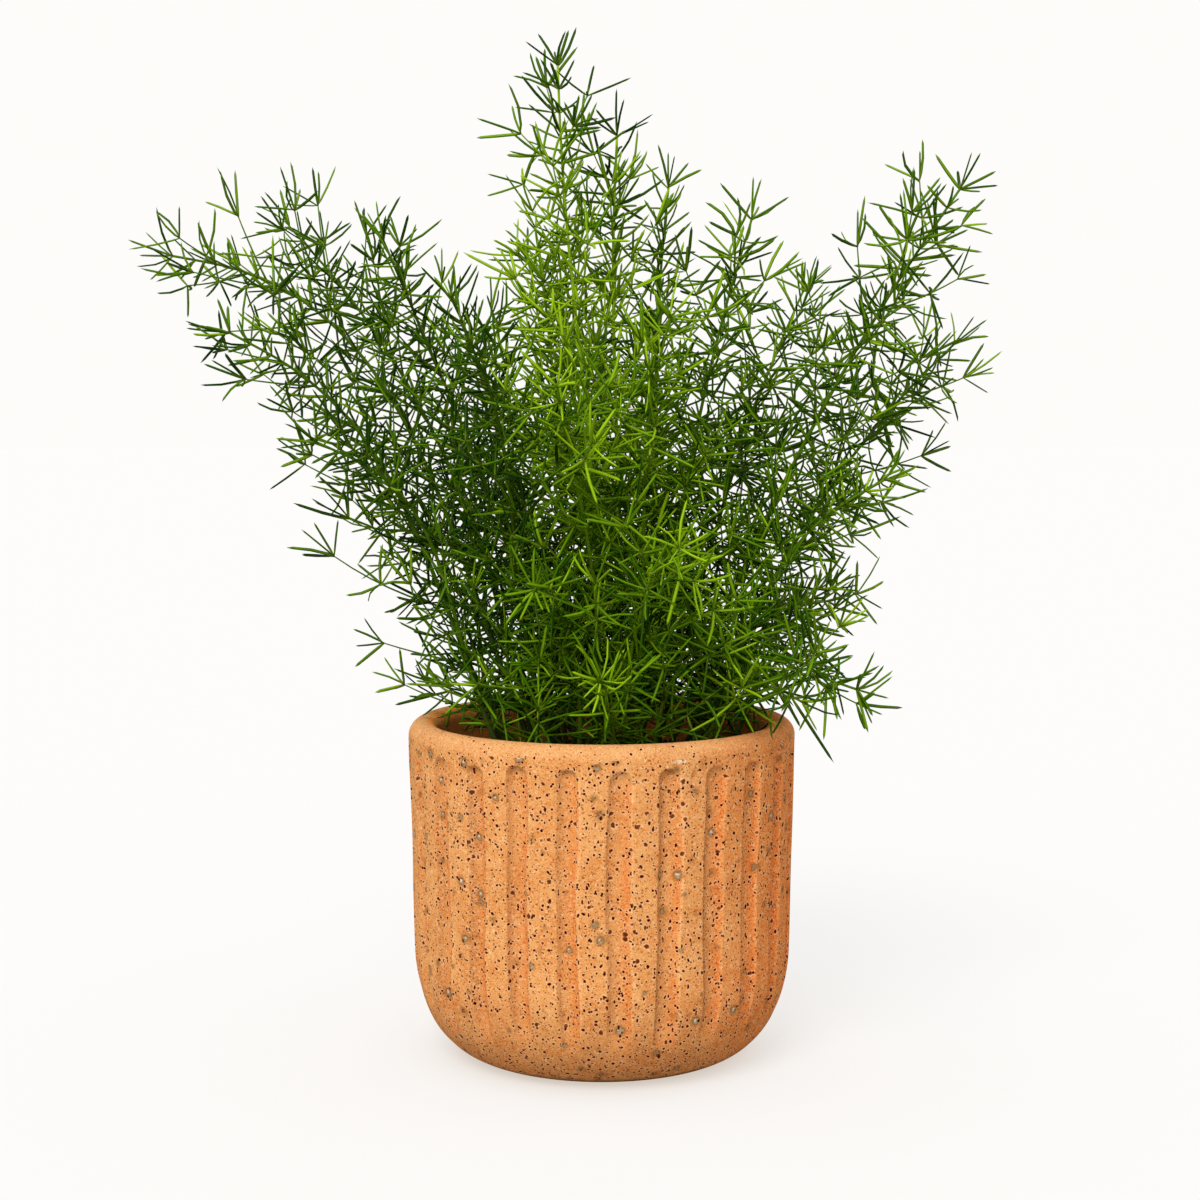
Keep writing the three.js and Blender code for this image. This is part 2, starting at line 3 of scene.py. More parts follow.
import sys

import logging
import math
from collections.abc import Iterator, Sequence
from dataclasses import dataclass, field
from enum import Enum
from typing import Any

import bmesh
import bpy
import numpy as np
from mathutils import Matrix, Vector

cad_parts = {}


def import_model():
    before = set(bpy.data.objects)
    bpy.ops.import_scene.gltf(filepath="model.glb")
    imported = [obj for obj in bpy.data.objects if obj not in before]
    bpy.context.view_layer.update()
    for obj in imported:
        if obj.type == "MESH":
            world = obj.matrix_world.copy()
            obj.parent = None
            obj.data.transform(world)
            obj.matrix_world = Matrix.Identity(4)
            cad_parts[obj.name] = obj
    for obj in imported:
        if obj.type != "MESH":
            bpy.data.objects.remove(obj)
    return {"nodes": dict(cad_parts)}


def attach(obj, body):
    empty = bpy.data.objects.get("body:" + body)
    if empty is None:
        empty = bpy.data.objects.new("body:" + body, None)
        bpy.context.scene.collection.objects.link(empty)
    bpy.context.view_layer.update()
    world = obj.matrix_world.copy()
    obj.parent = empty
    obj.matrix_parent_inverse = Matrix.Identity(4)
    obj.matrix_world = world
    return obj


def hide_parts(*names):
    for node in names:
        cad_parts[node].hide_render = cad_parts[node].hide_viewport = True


frame: dict[str, Any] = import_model()
log = logging.getLogger("potted_fern")

MM = 0.001
BODY = "root"
BAKE_MAP = "OFBake"
UP = np.array([0.0, 0.0, 1.0])
Array = np.ndarray
Pair = tuple[float, float]
Triple = tuple[float, float, float]
Mesh = bpy.types.Mesh
Piece = bpy.types.Object
Tree = bpy.types.NodeTree
Socket = bpy.types.NodeSocket
Value = float | Socket
Colour = Triple | Socket


class Age(Enum):
    """How old a stem's foliage is: its tones at foot and tip, from 0, deep green, to 1, yellow green."""

    FRESH = (1.3, 0.13)
    YOUNG = (0.50, 0.85)
    LIGHT = (0.47, 0.68)
    FULL = (0.38, 0.38)
    HARDY = (0.31, 0.28)
    DEEP = (0.0, 0.24)


@dataclass(frozen=True)
class Whorl:
    """How needles stand in one whorl, with the least and the most of each number.

    cone is the angle between needle and shoot, in degrees, and length is in millimetres.
    """

    count: tuple[int, int]
    cone: Pair = (48, 102)
    length: Pair = (13, 21)


@dataclass(frozen=True)
class Cladding:
    """The whorls of a stem: how far apart they stand on its shoots, what they are, and that of its end."""

    spacing: float
    along: Whorl
    end: Whorl = Whorl((5, 7), (12, 72), (13, 19))


class Habit(Enum):
    """The ways in which the plant's stems are clad with needles."""

    AIRY = Cladding(16.6 * MM, Whorl((3, 5), length=(13, 20)))
    SPIRE = Cladding(14.0 * MM, Whorl((3, 6), (28, 80), (12, 19)))
    EVEN = Cladding(10.4 * MM, Whorl((4, 6)))
    THICK = Cladding(10.8 * MM, Whorl((5, 7)))
    STARRY = Cladding(11.0 * MM, Whorl((4, 6)), Whorl((8, 10), (42, 80), (13, 19)))
    SPRAWLING = Cladding(9.4 * MM, Whorl((6, 8), length=(16, 24)), Whorl((7, 9), (30, 76), (13, 19)))


@dataclass(frozen=True)
class Growth:
    """A leafy stem's own numbers, in millimetres and degrees, as the modelled part has them.

    direction is counted from +X, with 270 towards the viewer. foot and reach are the distances of the
    stem's foot and end from the pot's axis, and rise is the end's height over the soil. Both leans are
    from upright. longest is the longest shoot, and sway how far the stem leaves its own plane.
    """

    name: str
    direction: float
    foot: float
    reach: float
    rise: float
    foot_lean: float
    end_lean: float
    longest: float
    sway: float
    age: Age
    habit: Habit


GROWTHS = (
    Growth("left_1", 184, 26, 160, 206, 24, 80, 50, 4, Age.HARDY, Habit.AIRY),
    Growth("left_2", 162, 28, 128, 214, 18, 44, 52, -6, Age.HARDY, Habit.AIRY),
    Growth("left_3", 203, 20, 86, 200, 10, 24, 40, 4, Age.DEEP, Habit.AIRY),
    Growth("left_4", 146, 20, 72, 178, 8, 26, 30, 4, Age.DEEP, Habit.AIRY),
    Growth("left_5", 231, 27, 84, 168, 16, 34, 44, -6, Age.DEEP, Habit.AIRY),
    Growth("left_6", 202, 41, 108, 128, 28, 66, 46, -4, Age.HARDY, Habit.AIRY),
    Growth("left_7", 168, 39, 76, 98, 32, 66, 34, 4, Age.DEEP, Habit.AIRY),
    Growth("left_8", 192, 35, 138, 170, 30, 62, 50, -4, Age.HARDY, Habit.AIRY),
    Growth("middle_1", 250, 12, 38, 266, 3, 6, 42, 4, Age.FRESH, Habit.SPIRE),
    Growth("middle_2", 190, 11, 26, 206, 3, 8, 30, -3, Age.YOUNG, Habit.SPIRE),
    Growth("middle_3", 310, 5, 12, 242, 2, 4, 36, 3, Age.FRESH, Habit.SPIRE),
    Growth("middle_4", 44, 14, 42, 226, 6, 8, 18, -5, Age.FULL, Habit.EVEN),
    Growth("middle_5", 336, 16, 62, 208, 8, 18, 38, 4, Age.FULL, Habit.EVEN),
    Growth("right_1", 22, 24, 88, 184, 12, 26, 42, -4, Age.FULL, Habit.THICK),
    Growth("right_2", 352, 26, 136, 222, 20, 34, 44, 5, Age.FULL, Habit.THICK),
    Growth("right_3", 8, 32, 140, 164, 26, 46, 44, -4, Age.FULL, Habit.THICK),
    Growth("right_4", 342, 34, 106, 112, 32, 60, 32, 4, Age.FULL, Habit.THICK),
    Growth("right_5", 18, 37, 92, 64, 34, 66, 38, -3, Age.FULL, Habit.SPRAWLING),
    Growth("right_6", 330, 37, 102, 42, 32, 104, 38, 3, Age.FULL, Habit.SPRAWLING),
    Growth("front_1", 262, 24, 80, 146, 22, 50, 50, 4, Age.LIGHT, Habit.STARRY),
    Growth("front_2", 287, 28, 76, 90, 34, 70, 48, -3, Age.LIGHT, Habit.STARRY),
    Growth("front_3", 300, 18, 52, 170, 12, 26, 46, 3, Age.LIGHT, Habit.STARRY),
    Growth("front_4", 253, 32, 64, 76, 30, 80, 42, 3, Age.FULL, Habit.STARRY),
    Growth("front_5", 272, 34, 54, 40, 34, 78, 34, 3, Age.LIGHT, Habit.STARRY),
    Growth("front_6", 308, 32, 60, 52, 34, 74, 36, -3, Age.FULL, Habit.STARRY),
    Growth("front_7", 228, 36, 56, 36, 34, 78, 32, 3, Age.FULL, Habit.STARRY),
    Growth("back_1", 92, 24, 104, 170, 18, 46, 50, 4, Age.FULL, Habit.EVEN),
    Growth("back_2", 122, 28, 106, 122, 26, 60, 48, -4, Age.DEEP, Habit.EVEN),
    Growth("back_3", 64, 28, 110, 128, 24, 60, 50, 4, Age.FULL, Habit.EVEN),
    Growth("back_4", 104, 14, 58, 204, 8, 18, 40, -4, Age.FULL, Habit.EVEN),
    Growth("back_5", 106, 38, 80, 58, 32, 72, 36, 3, Age.DEEP, Habit.EVEN),
    Growth("back_6", 74, 39, 84, 46, 34, 78, 34, -3, Age.DEEP, Habit.EVEN),
)


class Draws:
    """A run of random numbers that is the same each time for the same seed."""

    MASK = 0xFFFFFFFF
    STEP = 0x6D2B79F5

    def __init__(self, seed: int) -> None:
        """Starts the run at a seed."""
        self.state = seed & self.MASK

    def unit(self) -> float:
        """Draws the next number.

        Returns:
            A number from 0 to 1.
        """
        self.state = (self.state + self.STEP) & self.MASK
        t = self.state
        t = ((t ^ (t >> 15)) * (t | 1)) & self.MASK
        t ^= (t + (((t ^ (t >> 7)) * (t | 61)) & self.MASK)) & self.MASK
        return ((t ^ (t >> 14)) & self.MASK) / (self.MASK + 1)

    def between(self, low: float, high: float) -> float:
        """Returns the next number, from low to high."""
        return low + (high - low) * self.unit()


def unit(vectors: Array) -> Array:
    """Returns vectors at length 1, whatever the shape of their array."""
    return vectors / np.linalg.norm(vectors, axis=-1, keepdims=True)


def smooth(share: Array) -> Array:
    """Returns a share eased at both ends and held between 0 and 1."""
    held = np.clip(share, 0, 1)
    return held * held * (3 - 2 * held)


@dataclass
class Frame:
    """A place on a stem or shoot, with the way it runs and two ways across."""

    centre: Array
    ahead: Array
    side: Array
    other: Array

    def towards(self, cone: Array, turn: Array) -> Array:
        """Gives ways that leave the line.

        Args:
            cone: Their angles from the line ahead, in radians.
            turn: Their angles round it, in radians.

        Returns:
            One unit vector a row.
        """
        cone, turn = np.atleast_1d(cone)[:, None], np.atleast_1d(turn)[:, None]
        across = np.cos(turn) * self.other + np.sin(turn) * self.side
        return np.cos(cone) * self.ahead + np.sin(cone) * across


@dataclass
class Shoot:
    """A side branch: a plain curve that turns upwards."""

    foot: Array
    start: Array
    end: Array
    length: float
    share: float
    side: Array = field(init=False)

    def __post_init__(self) -> None:
        """Works out the way across the shoot."""
        side = np.cross(self.start, UP)
        if np.linalg.norm(side) < 0.05:
            side = np.cross(self.start, (1.0, 0.0, 0.0))
        self.side = unit(side)

    def at(self, s: float) -> Frame:
        """Finds a place on the shoot.

        Args:
            s: How far along it, from 0 at the foot to 1 at the tip.

        Returns:
            The place.
        """
        centre = self.foot + self.length * (self.start * (s - s * s / 2) + self.end * s * s / 2)
        ahead = unit(self.start * (1 - s) + self.end * s)
        side = unit(self.side - ahead * self.side.dot(ahead))
        return Frame(centre, ahead, side, np.cross(side, ahead))


@dataclass
class StemLine:
    """A leafy stem's line and its shoots, by the same rule as in the modelled part."""

    growth: Growth
    index: int
    soil_top: float
    pull: float = 0.36
    sway_turn: float = 1.5 * math.pi
    tip_run: float = 14 * MM
    spacing: float = 8.5 * MM
    first: float = 0.07
    last: float = 0.98
    length: float = field(init=False)
    shoots: int = field(init=False)

    STEPS = 24
    GOLDEN_TURN = 137.508
    STEM_SEED = 7919
    SHOOT_SEED = 104729

    def __post_init__(self) -> None:
        """Works out the curve's four points, its length and its number of shoots."""
        g = self.growth
        angle = math.radians(g.direction)
        self.out = np.array([math.cos(angle), math.sin(angle), 0.0])
        self.side = np.array([-math.sin(angle), math.cos(angle), 0.0])
        foot, end = np.array([g.foot, 0.0]) * MM, np.array([g.reach, g.rise]) * MM
        reach = self.pull * float(np.linalg.norm(end - foot))
        rising, falling = reach * self.lean(g.foot_lean), reach * self.lean(g.end_lean)
        self.points = (foot, foot + rising, end - falling, end)
        steps = [self.point(i / self.STEPS) for i in range(self.STEPS + 1)]
        self.length = float(sum(np.linalg.norm(b - a) for a, b in zip(steps, steps[1:])))
        self.shoots = round(self.length * (self.last - self.first) / self.spacing)
        self.tip = 1 + self.tip_run / self.length

    @staticmethod
    def lean(degrees: float) -> Array:
        """Returns the way outwards and up of a line that leans so far from upright."""
        return np.array([math.sin(math.radians(degrees)), math.cos(math.radians(degrees))])

    def point(self, t: float) -> Array:
        """Finds a point of the line.

        Args:
            t: How far along, from 0 at the soil to 1 where the straight tip begins, and beyond.

        Returns:
            The point.
        """
        if t > 1:
            return self.point(1) + self.at(1).ahead * (t - 1) * self.length
        a, b, c, d = self.points
        flat = (1 - t) ** 3 * a + 3 * t * (1 - t) ** 2 * b + 3 * t * t * (1 - t) * c + t**3 * d
        sway = self.growth.sway * MM * math.sin(self.sway_turn * t)
        return self.out * flat[0] + self.side * sway + UP * (self.soil_top + flat[1])

    def at(self, t: float) -> Frame:
        """Finds a place on the line.

        Args:
            t: How far along it.

        Returns:
            The place.
        """
        step, held = 0.002, min(t, 1)
        ahead = unit(self.point(min(1, held + step)) - self.point(max(0, held - step)))
        side = unit(self.side - ahead * self.side.dot(ahead))
        return Frame(self.point(t), ahead, side, np.cross(side, ahead))

    def shoot(self, number: int) -> Shoot:
        """Makes one of the stem's shoots.

        Args:
            number: Its number, counted from the soil.

        Returns:
            The shoot.
        """
        draws = Draws(self.STEM_SEED * (self.index + 1) + self.SHOOT_SEED * (number + 1))
        draws.unit()
        share = (number + draws.between(0.35, 0.65)) / self.shoots
        t = self.first + (self.last - self.first) * share
        roll = math.radians(self.GOLDEN_TURN * number + draws.between(-16, 16) + 40 * self.index)
        cone = math.radians(58 - 20 * t + draws.between(-7, 7))
        fullness = 0.36 + 0.64 * math.sin(math.pi * (0.06 + 0.86 * (1 - t)))
        length = self.growth.longest * MM * fullness * draws.between(0.8, 1.12)
        lift = draws.between(0.05, 0.45)
        place = self.at(t)
        start = place.towards(cone, roll)[0]
        return Shoot(place.centre, start, unit(start + lift * UP), length, t)


@dataclass
class Shape:
    """A unit shape that is copied many times, with its corners round +Z from 0 to 1.

    corners has one row a corner, loops the corners of face after face, sizes the number of corners of each
    face, and flat the place of each of the loops on the shape's own square of the map.
    """

    corners: Array
    loops: Array
    sizes: Array
    flat: Array

    @classmethod
    def column(cls, sides: int, heights: Sequence[float], radii: Sequence[float]) -> "Shape":
        """Makes a closed column of rings, which ends in a point where its last radius is 0.

        Args:
            sides: How many sides it has.
            heights: The rings' heights, from 0 to 1.
            radii: Their radii.

        Returns:
            The column.
        """
        bm = bmesh.new()
        upright = Matrix.Translation((0, 0, 0.5))
        bmesh.ops.create_cone(
            bm, cap_ends=True, cap_tris=False, segments=sides, radius1=1, radius2=1, depth=1, matrix=upright
        )
        for height in heights[1:-1]:
            whole = bm.verts[:] + bm.edges[:] + bm.faces[:]
            bmesh.ops.bisect_plane(bm, geom=whole, dist=1e-6, plane_co=(0, 0, height), plane_no=(0, 0, 1))
        if radii[-1] == 0:
            top = [v for v in bm.verts if v.co.z > 1 - 1e-6]
            bmesh.ops.pointmerge(bm, verts=top, merge_co=(0, 0, 1))
        for vertex in bm.verts:
            radius = float(np.interp(vertex.co.z, heights, radii))
            vertex.co.xy *= radius if radius else 1
        return cls.taken_from(bm)

    @classmethod
    def pebble(cls, subdivisions: int) -> "Shape":
        """Makes a round stone of radius 1 about the origin.

        Args:
            subdivisions: How often its faces are divided.

        Returns:
            The stone.
        """
        bm = bmesh.new()
        bmesh.ops.create_icosphere(bm, subdivisions=subdivisions, radius=1)
        return cls.taken_from(bm)

    @classmethod
    def chip(cls) -> "Shape":
        """Makes a flat chip with broken corners, 2 across about the origin.

        Returns:
            The chip.
        """
        bm = bmesh.new()
        bmesh.ops.create_cube(bm, size=2)
        bmesh.ops.bevel(
            bm, geom=bm.edges[:], offset=0.35, offset_type="OFFSET", segments=1, profile=0.5,
            affect="EDGES", material=-1
        )
        return cls.taken_from(bm)

    @classmethod
    def taken_from(cls, bm: bmesh.types.BMesh) -> "Shape":
        """Takes a shape out of a bmesh and unrolls it over a strip that holds its ends.

        Args:
            bm: The bmesh, which is freed.

        Returns:
            The shape.
        """
        strip, margin = 0.1, 0.04
        bm.normal_update()
        bm.verts.index_update()
        corners = np.array([v.co[:] for v in bm.verts])
        loops = np.array([v.index for f in bm.faces for v in f.verts])
        sizes = np.array([len(f.verts) for f in bm.faces])
        up = np.repeat([f.normal.z for f in bm.faces], sizes)[:, None]
        bm.free()
        x, y, z = corners[loops].T
        rise = (1 - strip - margin) / (z.max() - z.min())
        sides = np.stack([once_round(corners, loops, sizes) / 1.25, strip + rise * (z - z.min())], axis=1)
        ends = np.stack([0.2 * x, strip / 2 + 0.04 * y], axis=1) + np.where(up < 0, (0.25, 0), (0.75, 0))
        return cls(corners, loops, sizes, np.where(np.abs(up) > 0.99, ends, sides))


class Stack:
    """Copies of shapes, gathered into one mesh with a map and attributes."""

    def __init__(self) -> None:
        """Starts empty."""
        self.parts: list[tuple[Shape, Array]] = []
        self.attributes: dict[str, list[Array]] = {}

    def add(self, shape: Shape, places: Array, **attributes: Array) -> None:
        """Adds copies of one shape.

        Args:
            shape: The shape.
            places: Where the corners of each copy lie, by copy, corner and axis.
            attributes: By name, a number for each corner of each copy, or one a copy.
        """
        self.parts.append((shape, places))
        for name, values in attributes.items():
            spread = values[:, None] if values.ndim == 1 else values
            self.attributes.setdefault(name, []).append(np.broadcast_to(spread, places.shape[:2]).ravel())

    def laid(self) -> tuple[Array, Array]:
        """Lays the copies out on the map, each in its own square.

        Returns:
            The point of each loop, and its place on the map.
        """
        across = math.ceil(math.sqrt(sum(len(places) for _, places in self.parts)))
        margin, loops, flat, corners, copies = 0.04, [], [], 0, 0
        for shape, places in self.parts:
            number = np.arange(len(places))
            loops.append((corners + number[:, None] * len(shape.corners) + shape.loops).ravel())
            square = np.stack([(copies + number) % across, (copies + number) // across], axis=1)
            square = square[:, None] + margin + (1 - 2 * margin) * shape.flat
            flat.append((square / across).reshape(-1, 2))
            corners += places.shape[0] * places.shape[1]
            copies += len(places)
        return np.concatenate(loops), np.concatenate(flat)

    def piece(self, name: str, rounded: bool = True) -> Piece:
        """Makes the object that holds all copies.

        Args:
            name: Its name.
            rounded: Whether its faces are shaded as rounded.

        Returns:
            The object.
        """
        points = np.concatenate([places.reshape(-1, 3) for _, places in self.parts])
        sizes = np.concatenate([np.tile(shape.sizes, len(places)) for shape, places in self.parts])
        loops, flat = self.laid()
        mesh = bpy.data.meshes.new(name)
        mesh.vertices.add(len(points))
        mesh.loops.add(len(loops))
        mesh.polygons.add(len(sizes))
        mesh.loops.foreach_set("vertex_index", loops.astype(np.int32))
        mesh.polygons.foreach_set("loop_start", (np.cumsum(sizes) - sizes).astype(np.int32))
        mesh.polygons.foreach_set("use_smooth", np.full(len(sizes), rounded))
        moved(mesh, points)
        laid_out(mesh, flat)
        marked(mesh, **{key: np.concatenate(runs) for key, runs in self.attributes.items()})
        return linked(name, mesh)


def linked(name: str, data: bpy.types.ID) -> Piece:
    """Makes an object in the scene.

    Args:
        name: Its name.
        data: The mesh, lamp or camera that it holds.

    Returns:
        The object.
    """
    piece = bpy.data.objects.new(name, data)
    bpy.context.scene.collection.objects.link(piece)
    return piece


def moved(mesh: Mesh, points: Array) -> None:
    """Puts a mesh's points in their places."""
    mesh.vertices.foreach_set("co", points.astype(np.float32).ravel())
    mesh.update(calc_edges=True)


def laid_out(mesh: Mesh, flat: Array) -> None:
    """Gives a mesh its map, with a place for each corner of each face."""
    mesh.uv_layers.new(name=BAKE_MAP).data.foreach_set("uv", flat.astype(np.float32).ravel())


def marked(mesh: Mesh, **attributes: Array) -> None:
    """Gives a mesh attributes with a number for each point."""
    for name, values in attributes.items():
        mesh.attributes.new(name, "FLOAT", "POINT").data.foreach_set("value", values.astype(np.float32))


def finished(bm: bmesh.types.BMesh, name: str) -> Piece:
    """Makes a smooth object from a bmesh.

    Args:
        bm: The bmesh, which is freed.
        name: The object's name.

    Returns:
        The object.
    """
    mesh = bpy.data.meshes.new(name)
    bm.to_mesh(mesh)
    bm.free()
    for polygon in mesh.polygons:
        polygon.use_smooth = True
    return linked(name, mesh)


def turned(name: str, profile: Sequence[Pair], steps: int, sectors: int) -> Piece:
    """Spins an outline about the Z axis into a closed shell that faces outwards.

    Args:
        name: The new object's name.
        profile: The outline's points as radius and height, from axis to axis.
        steps: How many faces go round a sector.
        sectors: How many sectors there are.

    Returns:
        The shell.
    """
    bm = bmesh.new()
    line = [bm.verts.new((radius, 0, height)) for radius, height in profile]
    line += [bm.edges.new(pair) for pair in zip(line, line[1:])]
    sector = 2 * math.pi / sectors
    axis = {"cent": (0, 0, 0), "axis": (0, 0, 1), "dvec": (0, 0, 0), "space": Matrix.Identity(4)}
    bmesh.ops.spin(bm, geom=line, angle=sector, steps=steps, use_merge=False, use_duplicate=False, **axis)
    whole, rest = bm.verts[:] + bm.edges[:] + bm.faces[:], 2 * math.pi - sector
    bmesh.ops.spin(
        bm, geom=whole, angle=rest, steps=sectors - 1, use_merge=False, use_duplicate=True, **axis
    )
    bmesh.ops.remove_doubles(bm, verts=bm.verts[:], dist=1e-6)
    bmesh.ops.recalc_face_normals(bm, faces=bm.faces[:])
    bm.verts.index_update()
    count = len(bm.verts)

    def number(face: bmesh.types.BMFace) -> float:
        """Numbers a face by its points, so that each run lists the faces in the same order."""
        a, b, c = sorted(vertex.index for vertex in face.verts)[:3]
        return float((a * count + b) * count + c)

    bm.faces.sort(key=number)
    return finished(bm, name)


def positions(mesh: Mesh) -> Array:
    """Reads a mesh's points.

    Args:
        mesh: The mesh.

    Returns:
        The points, one a row.
    """
    points = np.empty(3 * len(mesh.vertices))
    mesh.vertices.foreach_get("co", points)
    return points.reshape(-1, 3)


def once_round(points: Array, loops: Array, sizes: Array) -> Array:
    """Works out how far round the Z axis each corner of each face lies.

    Args:
        points: The points, one a row.
        loops: The point of each corner.
        sizes: How many corners each face has.

    Returns:
        Numbers from 0 to 1, or past 1 where a face crosses the start. On the axis it is the face's middle.
    """
    starts, face = np.cumsum(sizes) - sizes, np.repeat(np.arange(len(sizes)), sizes)
    turn = np.arctan2(points[:, 1], points[:, 0]) / (2 * math.pi) % 1
    turn[np.hypot(points[:, 0], points[:, 1]) < 1e-6] = np.nan
    across = turn[loops]
    low, high = (end.reduceat(across, starts)[face] for end in (np.fmin, np.fmax))
    across = across + ((high - low > 0.5) & (across < 0.5))
    low, high = (end.reduceat(across, starts)[face] for end in (np.fmin, np.fmax))
    return np.where(np.isnan(across), (low + high) / 2, across)


def unrolled(mesh: Mesh, outline: Sequence[Pair], hidden: Sequence[bool]) -> Array:
    """Lays a turned shell out on its map, with once round as the map's width.

    Args:
        mesh: The shell, as it was turned.
        outline: Its outline's points as radius and height.
        hidden: For each, whether the run up to it is hidden and gets little of the map's height.

    Returns:
        For each point of the shell, the number of its point on the outline.
    """
    rows, points = np.array(outline), positions(mesh)
    runs = np.hypot(*np.diff(rows, axis=0).T) * np.where(hidden[1:], 0.1, 1.0)
    rise = np.concatenate([[0], np.cumsum(runs)]) / runs.sum()
    radius = np.hypot(points[:, 0], points[:, 1])
    row = np.hypot(radius[:, None] - rows[:, 0], points[:, 2:] - rows[:, 1]).argmin(axis=1)
    loops, sizes = np.empty(len(mesh.loops), np.int32), np.empty(len(mesh.polygons), np.int32)
    mesh.loops.foreach_get("vertex_index", loops)
    mesh.polygons.foreach_get("loop_total", sizes)
    across = once_round(points, loops, sizes)
    laid_out(mesh, np.stack([across / across.max(), rise[row][loops]], axis=1))
    return row


class Nodes:
    """A node tree, with short ways to add nodes and to join them."""

    def __init__(self, tree: Tree) -> None:
        """Holds the tree that nodes are added to."""
        self.tree = tree

    def add(self, kind: str, inputs: dict[str | int, Any] | None = None, **settings: Any) -> bpy.types.Node:
        """Adds a node.

        Args:
            kind: Its type.
            inputs: By name or number, the value or the socket that feeds it.
            settings: Its own settings.

        Returns:
            The node.
        """
        node = self.tree.nodes.new(kind)
        for name, setting in settings.items():
            setattr(node, name, setting)
        for name, value in (inputs or {}).items():
            self.feed(node.inputs[name], value)
        return node

    def feed(self, target: Socket, value: Any) -> None:
        """Joins a socket to another, or sets its value.

        Args:
            target: The socket that is fed.
            value: The value or the socket that feeds it.
        """
        if isinstance(value, Socket):
            self.tree.links.new(value, target)
        elif target.type == "RGBA" and len(value) == 3:
            target.default_value = (*value, 1)
        else:
            target.default_value = value

    def math(self, operation: str, a: Value, b: Value = 0.0, clamp: bool = False) -> Socket:
        """Returns the result of a Math node."""
        return self.add("ShaderNodeMath", {0: a, 1: b}, operation=operation, use_clamp=clamp).outputs[0]

    def times(self, a: Value, b: Value) -> Socket:
        """Returns one value times another."""
        return self.math("MULTIPLY", a, b)

    def less(self, a: Value, b: Value) -> Socket:
        """Returns one value less another."""
        return self.math("SUBTRACT", a, b)

    def vector(self, operation: str, a: Colour, b: Colour = (0.0, 0.0, 0.0)) -> Socket:
        """Returns the result of a Vector Math node."""
        node = self.add("ShaderNodeVectorMath", {0: a, 1: b}, operation=operation)
        return node.outputs["Value" if operation == "LENGTH" else 0]

    def mapped(self, place: Socket, **inputs: Triple) -> Socket:
        """Returns places moved, turned or scaled."""
        return self.add("ShaderNodeMapping", {"Vector": place, **inputs}).outputs[0]

    def parts(self, place: Socket) -> list[Socket]:
        """Returns X, Y and Z of a place."""
        return self.add("ShaderNodeSeparateXYZ", {0: place}).outputs[:]

    def mix(self, share: Value, a: Colour, b: Colour, blend: str = "MIX") -> Socket:
        """Returns two colours mixed, with share of the second."""
        kind = {"data_type": "RGBA", "blend_type": blend, "clamp_factor": True}
        return self.add("ShaderNodeMix", {0: share, 6: a, 7: b}, **kind).outputs[2]

    def coats(self, colour: Colour, *coats: tuple[Value, float, Colour]) -> Colour:
        """Lays coats over a colour.

        Args:
            colour: The colour.
            coats: The mask, the share and the tint of each.

        Returns:
            The colour that shows.
        """
        for mask, share, tint in coats:
            colour = self.mix(self.times(mask, share), colour, tint)
        return colour

    def ranged(self, value: Socket, low: float, high: float, to: Pair = (0.0, 1.0)) -> Socket:
        """Returns a value moved from one range to another, eased and held at both ends."""
        inputs = {0: value, 1: low, 2: high, 3: to[0], 4: to[1]}
        return self.add("ShaderNodeMapRange", inputs, interpolation_type="SMOOTHSTEP").outputs[0]

    def attribute(self, name: str) -> Socket:
        """Returns the value of one of the mesh's own attributes."""
        return self.add("ShaderNodeAttribute", attribute_name=name).outputs["Fac"]

    def place(self) -> Socket:
        """Returns the Object coordinates."""
        return self.add("ShaderNodeTexCoord").outputs["Object"]

    def noise(self, place: Socket, size: float, detail: float = 2.0, distortion: float = 0.0) -> Socket:
        """Returns noise whose features are about so many metres across."""
        inputs = {"Vector": place, "Scale": 1 / size, "Detail": detail, "Distortion": distortion}
        return self.add("ShaderNodeTexNoise", inputs).outputs["Fac"]

    def bumps(self, height: Socket, strength: float, distance: float) -> Socket:
        """Returns the normal of a surface that a height raises."""
        inputs = {"Height": height, "Strength": strength, "Distance": distance}
        return self.add("ShaderNodeBump", inputs).outputs[0]

    def bent(self, place: Socket, size: float, reach: float) -> Socket:
        """Pushes places about, so that specks become uneven.

        Args:
            place: The places.
            size: The size of the bends.
            reach: How far they push.

        Returns:
            The pushed places.
        """
        noise = {"Vector": place, "Scale": 1 / size, "Detail": 1.5}
        wander = self.add("ShaderNodeTexNoise", noise).outputs["Color"]
        shift = self.vector("MULTIPLY", self.vector("SUBTRACT", wander, (0.5,) * 3), (reach,) * 3)
        return self.vector("ADD", place, shift)

    def scattered(self, specks: Tree, kind: Triple, place: Socket, share: Socket) -> Any:
        """Scatters one kind of specks.

        Args:
            specks: The group that scatters specks.
            kind: Their spacing and least and most radius, in millimetres.
            place: The places that they lie in.
            share: How much of them there is.

        Returns:
            The group's outputs.
        """
        node = self.add("ShaderNodeGroup", node_tree=specks)
        spacing, least, most = (size * MM for size in kind)
        given = {"Place": place, "Spacing": spacing, "Least": least, "Most": most, "Share": share}
        for name, value in given.items():
            self.feed(node.inputs[name], value)
        return node.outputs


def new_material(name: str, roughness: float, shine: float) -> tuple[bpy.types.Material, Nodes, Any]:
    """Makes a material.

    Args:
        name: Its name.
        roughness: Its roughness.
        shine: How much it shines.

    Returns:
        The material, its nodes and its Principled BSDF's inputs.
    """
    material = bpy.data.materials.new(name)
    material.use_nodes = True
    inputs = material.node_tree.nodes["Principled BSDF"].inputs
    inputs["Roughness"].default_value = roughness
    inputs["Specular IOR Level"].default_value = shine
    return material, Nodes(material.node_tree), inputs


